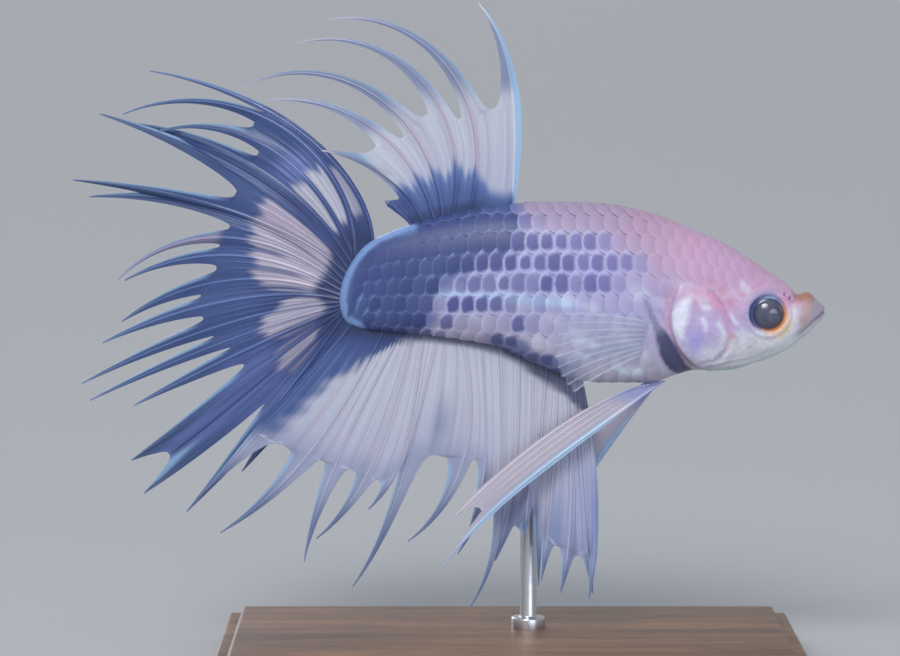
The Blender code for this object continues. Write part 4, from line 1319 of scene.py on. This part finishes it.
def caudal_colour(web):
    lane, depth, out = web.lane, web.depth, web.out
    window, fine = caudal_window(web), fine_lines(web, 0.36, 4)
    pale = Washes(FIN, "lilac", lane)
    pale.lay("pearl", np.interp(lane, (0.0, 1.0, 3.0, 4.0, 9.0, 10.5, 14.0),
                                (0.3, 0.8, 0.6, 0.15, 0.25, 0.5, 0.3)))
    pale.lay("pink", 0.35 * fine)
    wash = Washes(FIN, "navy", lane)
    wash.lay("royal", 0.85 * smooth(depth, 0.40, 0.75) * smooth(depth, 1.3, 0.95))
    top = hump(lane - 2.0, 0.95) * smooth(out, 8.0, 10.0) * smooth(out, 13.5, 11.0)
    wash.lay("peri", 0.75 * top)
    low = smooth(lane, 12.6, 13.6) * smooth(lane, 17.4, 16.2) * smooth(out, 6.0, 10.0)
    wash.lay("peri", 0.42 * low)
    wash.lay("dark", 0.45 * fine * smooth(depth, 1.2, 0.9))
    wash.lay("dark", 0.75 * smooth(out, 3.0, 0.8))
    wash.colour = lay(wash.colour, pale.colour, window)
    wash.lay("spike", smooth(web.beyond, 0.05, 0.45))
    wash.lay("tip", 0.8 * smooth(web.beyond, 0.5, 1.0))
    wash.lay("pale pink", 0.7 * hump(lane - 7.0, 0.4) * smooth(web.beyond, 0.0, 0.1))
    wash.lay("flame", 0.5 * web.ray * smooth(depth, 0.25, 0.6) * (1.0 - window))
    brighten_spikes(wash, web, 0.7)
    return wash.colour


# %% Dorsal and anal fin
# lane, and how far the blue runs out from the body
DORSAL_FLAME = ((0.0, 0.0), (0.45, 0.6), (0.8, 2.0), (1.2, 3.4), (2.0, 3.9), (3.0, 3.6),
                (4.0, 3.4), (5.0, 3.6), (6.0, 5.0))
# distance out, and the lane up to which the rear edge is blue
ANAL_BORDER = ((0.0, 2.6), (1.0, 2.0), (2.5, 1.15), (4.3, 0.72), (6.0, 0.50), (8.0, 0.38),
               (12.0, 0.28), (14.5, 0.2))
# lane, and how far the dark root runs out
ANAL_ROOT = ((0.0, 0.6), (3.0, 0.5), (4.0, 0.1), (8.0, 0.1), (10.0, 0.8), (12.5, 1.5), (15.0, 3.0))


def dorsal_colour(web):
    lane, out, across = web.lane, web.out, np.abs(web.across)
    wash = Washes(FIN, "pearl", lane)
    wash.lay("lavender", 0.4 * smooth(web.depth, 0.9, 0.2))
    wash.lay("pink", 0.30 * fine_lines(web, 0.5, 9))
    wash.lay("pink", 0.75 * smooth(across, 0.30, 0.10) * smooth(lane, 0.2, 0.8))
    flame = read_off(DORSAL_FLAME, lane)
    flame = flame * (1.0 + 0.16 * np.cos(lane * 2.0 * math.pi) + 0.10 * np.sin(lane * 19.0))
    wash.lay("flame", smooth(out, flame + 1.3, flame - 0.3))
    streak = smooth(across, 0.42, 0.15)
    near = smooth(out, flame + 0.7 + streak, 0.55 * flame - 0.6)
    wash.lay("navy", near * (0.55 + 0.40 * streak))
    wash.lay("navy", 0.8 * smooth(lane, 4.6, 5.4) * smooth(out, 4.5, 2.0))
    wash.lay("dark", 0.7 * smooth(out, 1.0, 0.1) * smooth(lane, 0.4, 1.0))
    wash.lay("steel", 0.75 * smooth(web.beyond, 0.05, 0.25) * smooth(web.beyond, 1.0, 0.7))
    wash.lay("cyan", 0.8 * smooth(lane, 0.05, -0.25))
    brighten_spikes(wash, web, 0.45)
    return wash.colour


def anal_colour(web):
    lane, depth, out = web.lane, web.depth, web.out
    wash = Washes(FIN, "pearl", lane)
    wash.lay("lavender", 0.5 * smooth(depth, 0.3, 1.0))
    wash.lay("pink", 0.45 * fine_lines(web, 0.42, 6))
    wash.lay("pink", 0.50 * smooth(np.abs(web.across), 0.26, 0.10) * smooth(depth, 1.1, 0.8))
    wash.lay("soft blue", 0.38 * smooth(lane, 11.0, 14.5) * smooth(depth, 0.15, 0.6))
    wash.lay("royal", 0.75 * hump(lane - 9.4, 0.8) * smooth(depth, 0.72, 1.0))
    wash.lay("navy", 0.6 * hump(lane - 10.5, 0.55) * smooth(out, 11.0, 17.0))
    wash.lay("flame", 0.55 * hump(lane - 12.4, 0.5) * smooth(depth, 0.5, 0.95))
    wash.lay("flame", 0.6 * smooth(lane, 14.5, 15.0) * smooth(depth, 0.35, 0.8))
    wash.lay("steel", 0.6 * hump(lane - 5.45, 0.16) * hump(out - 9.0, 2.6))
    wash.lay("grey blue", 0.5 * smooth(depth, 0.80, 1.05))
    wash.lay("spike", 0.75 * smooth(web.beyond, 0.15, 0.7))

    # the blue rear edge, and the dark root
    border = read_off(ANAL_BORDER, out) * (1.0 + 0.12 * np.sin(lane * 31.0))
    border = border + 0.05 * np.sin(out * 2.3 + lane * 4.0)
    band = Washes(FIN, "royal", lane)
    band.lay("flame", 0.5 * fine_lines(web, 0.25, 11))
    band.lay("navy", smooth(out, 4.0, 0.5))
    rear = smooth(lane, border + 0.24, border - 0.16) * smooth(out, 17.0, 13.5)
    wash.colour = lay(wash.colour, band.colour, rear)
    root = read_off(ANAL_ROOT, lane)
    wash.lay("dark", 0.85 * smooth(out, root + 0.5, root - 0.3))
    brighten_spikes(wash, web, 0.6)
    return wash.colour


# %% Pelvic and pectoral fins
def pelvic_colour(web):
    wash = Washes(FIN, "pale pink", web.lane)
    wash.lay("pearl", 0.5)
    wash.lay("cyan", 0.8 * smooth(web.lane, 0.7, 1.1) * smooth(web.out, 3.0, 7.0))
    wash.lay("soft blue", 0.7 * smooth(web.out, 4.5, 1.5))
    wash.lay("grey blue", 0.5 * smooth(web.beyond, 0.3, 1.0))
    return wash.colour


def pectoral_colour(web):
    wash = Washes(FIN, "pearl", web.lane)
    wash.lay("lavender", 0.5 * smooth(web.depth, 0.3, 1.0))
    # painted highlight: a bright cyan streak across the lower middle rays, and a little along every
    # ray
    wash.lay("cyan", np.clip(0.4 * hump(web.lane - 5.0, 0.6) + 0.2 * web.ray, 0.0, 1.0))
    return wash.colour


# %% [markdown]
# ## Fin finish
# The fins are clear resin skins brushed with thin colour.  Light comes through them, so a
# translucent shader is mixed with the glossy one, less where a ray makes them thick.  The rays
# are jointed every 0.45 mm, and the web carries faint lines 0.3 mm apart: both are bumps.

# %% Fin material
JOINT_PITCH, LINE_PITCH = 0.45, 0.30


def fin_finish(name, light_through, opacity=1.0, ray_opacity=1.0):
    """Tinted resin skin over rays; opacity is how much of what is behind it hides."""
    finish, tree = new_material(name)
    colour = add(tree, "Attribute", attribute_name="marking")
    across, out, ridge = (add(tree, "Attribute", attribute_name=measure).outputs["Fac"]
                          for measure in ("across", "out", "ridge"))
    joint = add(tree, "Math", {0: out, 1: 2.0 * math.pi / JOINT_PITCH}, operation="MULTIPLY")
    joint = add(tree, "Math", {0: joint}, operation="SINE")
    joint = add(tree, "Math", {0: joint, 1: ridge}, operation="MULTIPLY")
    line = add(tree, "Math", {0: across, 1: 2.0 * math.pi / LINE_PITCH}, operation="MULTIPLY")
    line = add(tree, "Math", {0: line}, operation="SINE")
    height = add(tree, "Math", {0: joint, 1: 0.6, 2: line}, operation="MULTIPLY_ADD")
    bump = add(tree, "Bump", {"Height": height, "Strength": 0.25, "Distance": 0.02 * MM})
    glossy = add(tree, "BsdfPrincipled", {
        "Base Color": colour, "Normal": bump, "Roughness": 0.36,
        "Coat Weight": 0.2, "Coat Roughness": 0.2})
    through = add(tree, "BsdfTranslucent", {"Color": colour, "Normal": bump})
    share = add(tree, "MapRange", {
        "Value": ridge, "To Min": light_through, "To Max": 0.3 * light_through})
    shader = add(tree, "MixShader", {0: share, 1: glossy, 2: through})
    if opacity < 1.0:
        solid = add(tree, "MapRange", {"Value": ridge, "To Min": opacity, "To Max": ray_opacity})
        clear = add(tree, "BsdfTransparent")
        shader = add(tree, "MixShader", {0: solid, 1: clear, 2: shader})
    add(tree, "OutputMaterial", {"Surface": shader})
    return finish


web_finish = fin_finish("tinted_resin_fin_skin", 0.35)
clear_finish = fin_finish("clear_resin_fin_skin", 0.35, 0.13, 0.30)
print("fin finishes:", web_finish.name, "and", clear_finish.name)

# %% Upright fins
RUFFLE_STEP, RUFFLE_START = 2.3, 0.6


def upright(sway, ruffle):
    """The fish's midline, a steady sway and a ruffle from ray to ray."""
    def place(x, index, share):
        wave = math.sin(RUFFLE_STEP * index + RUFFLE_START)
        return midline(x) + share * share * (sway + ruffle * wave)
    return place


def roots_on(outline, rays, gap):
    """Root of every ray of a fin, this far off the body's back or belly."""
    return [(ray[0], float(outline(ray[0])) + gap) for ray in rays]


for name, rays, roots, place, rule in (
    ("dorsal_fin", DORSAL, roots_on(back, DORSAL, GAP), upright(-1.2, 0.5), dorsal_colour),
    ("caudal_fin", CAUDAL, [stalk_rim(ray[0]) for ray in CAUDAL], upright(2.4, 0.8), caudal_colour),
    ("anal_fin", ANAL, roots_on(belly, ANAL, -GAP), upright(-1.0, 1.0), anal_colour),
):
    piece = build_fin(name + "_skin", fin_panels(rays, roots, place), rule)
    declare(piece, web_finish, "fin", name)

# %% Paired pelvic fins
PELVIC_PLACE, PELVIC_SPREAD = 1.2, 2.4              # sideways, at the root and added at the tip


def trailing(sign):
    """A pelvic fin's place beside the midline."""
    def place(x, index, share):
        return midline(x) + sign * (PELVIC_PLACE + PELVIC_SPREAD * share)
    return place


for name, rays, sign in (("pelvic_fin_right", PELVIC_NEAR, -1.0),
                         ("pelvic_fin_left", PELVIC_FAR, 1.0)):
    panels = fin_panels(rays, roots_on(belly, rays, -GAP), trailing(sign), billow=0.1)
    piece = build_fin(name + "_skin", panels, pelvic_colour, scale=0.8)
    declare(piece, web_finish, "fin", name)

# %% Paired pectoral fins
PECTORAL_RAYS = 9
PECTORAL_HEADING, PECTORAL_FAN, PECTORAL_CURL = 166.0, 34.0, 16.0
PECTORAL_BEND, PECTORAL_HALF_WIDTH = 1.3, 0.14
PECTORAL_LENGTH, PECTORAL_SHORTENING, PECTORAL_ROUNDING = 9.6, 1.2, 1.1
PECTORAL_WEB_SHORT = 0.25
PECTORAL_SINK, PECTORAL_RISE, PECTORAL_FLARE = -0.85, 1.2, 0.22


def half_width_at(x, z):
    """Half width of the body at a place in side view."""
    top, low = back(x), belly(x)
    up = np.clip(np.abs(z - 0.5 * (top + low)) / (0.5 * (top - low)), 0.0, 1.0)
    return half_width(x) * (1.0 - up ** SECTION_POWER) ** (1.0 / SECTION_POWER)


pectoral = []
for share in np.arange(PECTORAL_RAYS) / (PECTORAL_RAYS - 1.0):
    heading = PECTORAL_HEADING + PECTORAL_FAN * share
    length = (PECTORAL_LENGTH - PECTORAL_SHORTENING * share
              + PECTORAL_ROUNDING * math.sin(math.pi * share))
    pectoral.append((share, heading, heading + PECTORAL_CURL, PECTORAL_BEND,
                     length, length - PECTORAL_WEB_SHORT, PECTORAL_HALF_WIDTH))
root_top, root_low = np.array(PECTORAL_ROOT)
pectoral_roots = [root_top + (root_low - root_top) * ray[0] for ray in pectoral]


def flaring(sign):
    """A pectoral fin's place: it starts in the flank, lifts clear and spreads away."""
    def place(x, index, share):
        rise = PECTORAL_SINK + PECTORAL_RISE * smooth(share, -0.05, 0.16)
        away = rise + PECTORAL_FLARE * share * pectoral[index][4]
        return midline(x) + sign * (half_width_at(*pectoral_roots[index]) + away)
    return place


for name, sign in (("pectoral_fin_right", -1.0), ("pectoral_fin_left", 1.0)):
    panels = fin_panels(pectoral, pectoral_roots, flaring(sign), billow=0.08)
    piece = build_fin(name + "_skin", panels, pectoral_colour, scale=0.55)
    declare(piece, clear_finish, "fin", name)

# %% [markdown]
# ## Eyes
# A fish's eye is a ball with a narrow coloured iris and a wide pupil, in which the round lens
# stands out.  A museum eye is made just so in glass.  The iris is a sphere whose front is
# dished inwards, and the lens is a smaller dark ball seated in the dish.

# %% Eye shapes
EYE_DEPTH, EYE_STAND_OUT, PUPIL_RADIUS = 1.6, 0.35, 1.60
DISH_DEPTH = 0.40
IRIS_RADII = (EYE_RADIUS - 0.04, EYE_DEPTH - 0.06)          # in side view, and sideways
LENS_RADII = (PUPIL_RADIUS - 0.02, 0.85)
IRIS_SET_BACK, LENS_SET_BACK = 0.10, 0.17
IRIS_GRID, LENS_GRID = (64, 40), (48, 28)                   # segments and rings
cornea_out = float(half_width_at(*EYE)) + EYE_STAND_OUT     # how far the eye reaches sideways
eye_middle = float(midline(EYE[0]))


def turned_ball(name, side, radii, out, grid):
    """A sphere with its pole facing sideways, at the eye, its front at this distance out."""
    deselect()
    bpy.ops.mesh.primitive_uv_sphere_add(segments=grid[0], ring_count=grid[1], radius=1.0)
    ball = bpy.context.object
    ball.name = name
    unit = read_points(ball.data)
    x = EYE[0] + radii[0] * unit[:, 0]
    z = EYE[1] + radii[0] * unit[:, 1] * side
    y = eye_middle + side * (out - radii[1] + radii[1] * unit[:, 2])
    write_points(ball.data, np.stack((x, y, z), axis=1))
    face_outward()
    bpy.ops.object.shade_smooth()
    return ball


print("the eyes reach %.1f mm from the middle" % cornea_out)

# %% Eye colours
IRIS = {name: linear(code) for name, code in {
    "blue": "#7c8ab8", "light blue": "#a2b8e4", "fleck": "#3d4678", "gold": "#dc8a48",
    "pale gold": "#f8dfa8", "pupil rim": "#23263f", "outer rim": "#4a4f7c",
}.items()}


def iris_colour(x, z):
    """Blue above and behind, gold below and in front, dark at the pupil's rim, with painted shade
    on the outer rim above and behind.
    """
    radius, turn = around_eye(x, z)
    front_low = np.cos(turn + 0.75)
    wash = Washes(IRIS, "blue", x)
    wash.lay("light blue", smooth(np.cos(turn - 2.2), 0.2, 0.95))
    fleck = np.sin(turn * 37.0) * np.sin(turn * 23.0 + 1.0)
    wash.lay("fleck", 0.30 * smooth(fleck, 0.1, 0.8))
    wash.lay("gold", smooth(front_low, 0.0, 0.6))
    wash.lay("pale gold", smooth(np.cos(turn + 0.65), 0.35, 0.95) * smooth(radius, 1.74, 1.94))
    wash.lay("pupil rim", 0.9 * smooth(radius, PUPIL_RADIUS + 0.08, PUPIL_RADIUS))
    # painted shade along the iris's outer rim, above and behind
    wash.lay("outer rim", 0.5 * smooth(radius, 1.95, 2.08) * smooth(front_low, 0.4, 0.0))
    return wash.colour


def enamelled_iris():
    """Fired enamel under clear glass: a little metal in it, and a sharp gloss."""
    finish, tree = new_material("enamelled_glass_iris")
    colour = add(tree, "Attribute", attribute_name="marking")
    shader = add(tree, "BsdfPrincipled", {
        "Base Color": colour, "Roughness": 0.25, "Metallic": 0.25,
        "Coat Weight": 0.5, "Coat Roughness": 0.05})
    add(tree, "OutputMaterial", {"Surface": shader})
    return finish


def dark_glass():
    """Smoky glass with a faint cloud in it, as in a living lens."""
    finish, tree = new_material("dark_glass_lens")
    place = add(tree, "TexCoord").outputs["Object"]
    cloud = add(tree, "TexNoise", {"Vector": place, "Scale": 900.0, "Detail": 1.0})
    tint = add(tree, "Mix", {0: cloud, 6: opaque("#262a3c"), 7: opaque("#5c5f74")},
               data_type="RGBA")
    shader = add(tree, "BsdfPrincipled", {
        "Base Color": tint, "Roughness": 0.18, "IOR": 1.5,
        "Coat Weight": 0.6, "Coat Roughness": 0.04})
    add(tree, "OutputMaterial", {"Surface": shader})
    return finish


print(len(IRIS), "iris colours")

# %% Eyes
iris_finish, lens_finish = enamelled_iris(), dark_glass()
for side, sign in (("right", -1.0), ("left", 1.0)):
    front = cornea_out - IRIS_SET_BACK
    iris = turned_ball("eye_iris_" + side, sign, IRIS_RADII, front, IRIS_GRID)
    points = read_points(iris.data) / MM
    radius = around_eye(points[:, 0], points[:, 2])[0]
    in_front = (points[:, 1] - eye_middle) * sign > cornea_out - EYE_DEPTH
    points[:, 1] -= sign * DISH_DEPTH * smooth(radius, PUPIL_RADIUS + 0.10, 0.7) * in_front
    write_points(iris.data, points)
    paint(iris.data, "marking", iris_colour(points[:, 0], points[:, 2]))
    declare(iris, iris_finish, "eye", "eye_" + side)
    front = cornea_out - LENS_SET_BACK
    lens = turned_ball("eye_lens_" + side, sign, LENS_RADII, front, LENS_GRID)
    declare(lens, lens_finish, "eye")

# %% [markdown]
# ## Display stand
# The fish swims, so a plain stand holds it: a hardwood base with a routed edge, and one short
# rod of satin steel in a turned collar, with a small cup under the flank.  The base is a cube
# whose top is inset and raised a little to leave a step.  The rod is a cylinder that is cut
# across near its ends, whose end bands are then pushed out into collar and cup.

# %% Shape with edit mode
def pick_faces(obj, test):
    """In edit mode, selects the faces whose centre, in millimetres, and normal pass the test."""
    bpy.ops.object.mode_set(mode="OBJECT")
    for face in obj.data.polygons:
        face.select = bool(test(face.center / MM, face.normal))
    for edge in obj.data.edges:
        edge.select = False
    bpy.ops.object.mode_set(mode="EDIT")
    bpy.ops.mesh.select_mode(type="FACE")


def round_edges(obj, width, segments, **settings):
    """Rounds the sharp edges of a hard piece, and smooths the rest."""
    bevel = obj.modifiers.new("Round", "BEVEL")
    bevel.width = width * MM
    bevel.segments = segments
    bevel.limit_method = "ANGLE"
    for setting, value in settings.items():
        setattr(bevel, setting, value)
    apply_modifiers(obj)
    bpy.ops.object.shade_smooth_by_angle(angle=math.radians(35.0))


# %% Base
BASE_X = 7.0
BASE_SIZE = (62.0, 38.0, 4.0)
STEP_HEIGHT, STEP_WIDTH, BASE_ROUNDING = 1.0, 1.6, 0.42

deselect()
bpy.ops.mesh.primitive_cube_add(size=1.0, location=(0.0, 0.0, 0.0))
base = bpy.context.object
base.name = "stand_base_board"
board = np.array((BASE_SIZE[0], BASE_SIZE[1], BASE_SIZE[2] - STEP_HEIGHT))
write_points(base.data, read_points(base.data) * board + (BASE_X, 0.0, 0.5 * board[2]))
pick_faces(base, lambda centre, normal: normal.z > 0.9)
bpy.ops.mesh.inset(thickness=STEP_WIDTH * MM, depth=0.0)
bpy.ops.mesh.extrude_region_move(TRANSFORM_OT_translate={"value": (0.0, 0.0, STEP_HEIGHT * MM)})
face_outward()
round_edges(base, BASE_ROUNDING, 4)
print("base of %.0f by %.0f by %.0f mm" % BASE_SIZE)


# %% Walnut
def oiled_walnut():
    """Walnut under oil: long growth bands, dark pores along the grain and a low gloss."""
    finish, tree = new_material("oiled_walnut_board")
    place = add(tree, "TexCoord").outputs["Object"]
    stretch = add(tree, "Mapping", {
        "Vector": place, "Scale": (0.10, 1.0, 1.0), "Rotation": (0.0, 0.04, 0.03)})
    rings = add(tree, "TexNoise", {
        "Vector": stretch, "Scale": 260.0, "Detail": 3.0, "Distortion": 0.6})
    ramp = add(tree, "ValToRGB", {"Fac": rings})
    for stop, position, code in zip(ramp.color_ramp.elements, (0.30, 0.70), ("#4a2f20", "#8a6244")):
        stop.position = position
        stop.color = opaque(code)
    bands = add(tree, "Math", {0: rings, 1: 46.0}, operation="MULTIPLY")
    bands = add(tree, "Math", {0: bands}, operation="SINE")
    bands = add(tree, "MapRange", {
        "Value": bands, "From Min": -1.0, "From Max": 1.0, "To Min": 0.86, "To Max": 1.06})
    fine = add(tree, "Mapping", {"Vector": place, "Scale": (0.06, 1.0, 1.0)})
    pores = add(tree, "TexNoise", {"Vector": fine, "Scale": 5200.0, "Detail": 1.0})
    pores = add(tree, "MapRange", {"Value": pores, "From Min": 0.56, "From Max": 0.68})
    pores = add(tree, "MapRange", {"Value": pores, "To Min": 1.0, "To Max": 0.55})
    shade = add(tree, "Math", {0: bands, 1: pores}, operation="MULTIPLY")
    colour = add(tree, "VectorMath", {0: ramp, "Scale": shade}, operation="SCALE")
    bump = add(tree, "Bump", {"Height": pores, "Strength": 0.3, "Distance": 0.05 * MM})
    shader = add(tree, "BsdfPrincipled", {
        "Base Color": colour, "Normal": bump, "Roughness": 0.45,
        "Coat Weight": 0.15, "Coat Roughness": 0.3})
    add(tree, "OutputMaterial", {"Surface": shader})
    return finish


declare(base, oiled_walnut(), "wood", "stand_base")

# %% Rod
ROD_X, ROD_Y, ROD_TOP = 9.0, 3.5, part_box("stand_rod")[1][2] / MM
ROD_RADIUS, ROD_SINK, ROD_INTO_FISH = 0.9, 0.4, 0.25
COLLAR_HEIGHT, COLLAR_WIDER = 1.6, 0.9
CUP_DEPTH, CUP_WIDER = 0.9, 0.35
ROD_ROUNDING = 0.16
SLACK = 0.2                     # between a cut and the test that tells the bands apart

deselect()
bpy.ops.mesh.primitive_cylinder_add(vertices=64, radius=1.0, depth=1.0, end_fill_type="NGON")
rod = bpy.context.object
rod.name = "stand_rod_steel"
foot = BASE_SIZE[2] - ROD_SINK
height = ROD_TOP + ROD_INTO_FISH - foot
size = np.array((ROD_RADIUS, ROD_RADIUS, height))
write_points(rod.data, read_points(rod.data) * size + (ROD_X, ROD_Y, foot + 0.5 * height))
bpy.ops.object.mode_set(mode="EDIT")
for level in (foot + COLLAR_HEIGHT, ROD_TOP - CUP_DEPTH):
    bpy.ops.mesh.select_all(action="SELECT")
    bpy.ops.mesh.bisect(plane_co=(0.0, 0.0, level * MM), plane_no=(0.0, 0.0, 1.0))
for wider, in_band in (
    (COLLAR_WIDER, lambda z: z < foot + COLLAR_HEIGHT - SLACK),
    (CUP_WIDER, lambda z: z > ROD_TOP - CUP_DEPTH + SLACK),
):
    pick_faces(rod, lambda centre, normal: abs(normal.z) < 0.3 and in_band(centre.z))
    bpy.ops.mesh.extrude_region_shrink_fatten(TRANSFORM_OT_shrink_fatten={"value": wider * MM})
face_outward()
round_edges(rod, ROD_ROUNDING, 3, angle_limit=math.radians(50.0))
print("rod of %.1f mm" % height)


# %% Steel
def brushed_steel():
    """Drawn steel rod with a satin brushing along its length."""
    finish, tree = new_material("satin_brushed_steel")
    place = add(tree, "TexCoord").outputs["Object"]
    drawn = add(tree, "Mapping", {"Vector": place, "Scale": (1.0, 1.0, 24.0)})
    brush = add(tree, "TexNoise", {"Vector": drawn, "Scale": 900.0, "Detail": 2.0})
    rough = add(tree, "MapRange", {"Value": brush, "To Min": 0.24, "To Max": 0.40})
    bump = add(tree, "Bump", {"Height": brush, "Strength": 0.08, "Distance": 0.02 * MM})
    shader = add(tree, "BsdfPrincipled", {
        "Base Color": opaque("#c6c8cc"), "Metallic": 1.0, "Roughness": rough, "Normal": bump})
    add(tree, "OutputMaterial", {"Surface": shader})
    return finish


declare(rod, brushed_steel(), "metal", "stand_rod")

# %% [markdown]
# ## Floor, light and camera
# A pale floor that runs far back is the only ground.  A large soft light from the upper left
# models the form, with a round softbox beside it for the gloss.  A low one from the front lifts
# the shadows, and one behind the fish lets the fins glow.  The camera looks almost level at the
# right flank through a long lens.

# %% Floor
FLOOR_RADIUS = 100.0            # metres

deselect()
bpy.ops.mesh.primitive_circle_add(vertices=96, radius=FLOOR_RADIUS, fill_type="NGON")
floor = bpy.context.object
floor.name = "pale_floor"
floor_finish, tree = new_material("matt_grey_paper_floor")
shader = add(tree, "BsdfPrincipled", {
    "Base Color": opaque("#b3b6bb"), "Roughness": 0.9, "Specular IOR Level": 0.1})
add(tree, "OutputMaterial", {"Surface": shader})
floor.data.materials.append(floor_finish)
print("floor of %.0f m radius" % FLOOR_RADIUS)

# %% Lights
AIM = Vector((0.0, 0.0, 0.038))         # the middle of the fish, in metres
world = bpy.data.worlds.new("pale_room")
bpy.context.scene.world = world
world.use_nodes = True
sky = world.node_tree.nodes["Background"].inputs
sky["Color"].default_value = opaque("#f2f5fa")
sky["Strength"].default_value = 0.52


def lamp(name, kind, place, strength, colour, **settings):
    """A light at this place, in metres, aimed at the middle of the fish."""
    data = bpy.data.lights.new(name, kind)
    data.energy = strength
    data.color = tuple(linear(colour))
    for setting, value in settings.items():
        setattr(data, setting, value)
    light = bpy.data.objects.new(name, data)
    light.location = place
    light.rotation_euler = (AIM - Vector(place)).to_track_quat("-Z", "Y").to_euler()
    bpy.context.scene.collection.objects.link(light)


lamp("key", "SUN", (-0.16, -0.50, 0.44), 1.28, "#fbf8f4", angle=math.radians(30.0))
lamp("fill", "SUN", (0.26, -0.50, 0.02), 1.35, "#e4edff", angle=math.radians(40.0))
lamp("behind", "SUN", (-0.30, 0.50, 0.22), 0.9, "#f4f6ff", angle=math.radians(40.0))
lamp("softbox", "AREA", (-0.16, -0.42, 0.46), 0.9, "#ffffff", shape="DISK", size=0.20)
print("lights:", ", ".join(light.name for light in bpy.data.lights))

# %% Camera
ELEVATION = 5.4
VIEW_WIDTH, LENS, SENSOR = 95.0, 150.0, 36.0        # mm: the view at the fish, and the camera's
TARGET = np.array((0.6, 0.0, 36.6))
distance = VIEW_WIDTH * LENS / SENSOR
optics = bpy.data.cameras.new("camera")
optics.lens = LENS
optics.sensor_width = SENSOR
optics.clip_start = 0.01
optics.clip_end = 2.0 * FLOOR_RADIUS
camera = bpy.data.objects.new("camera", optics)
bpy.context.scene.collection.objects.link(camera)
tilt = math.radians(ELEVATION)
camera.location = (TARGET + distance * np.array((0.0, -math.cos(tilt), math.sin(tilt)))) * MM
camera.rotation_euler = (math.radians(90.0) - tilt, 0.0, 0.0)
bpy.context.scene.camera = camera
bpy.context.scene.view_settings.view_transform = "Standard"
print("camera %.0f mm away" % distance)
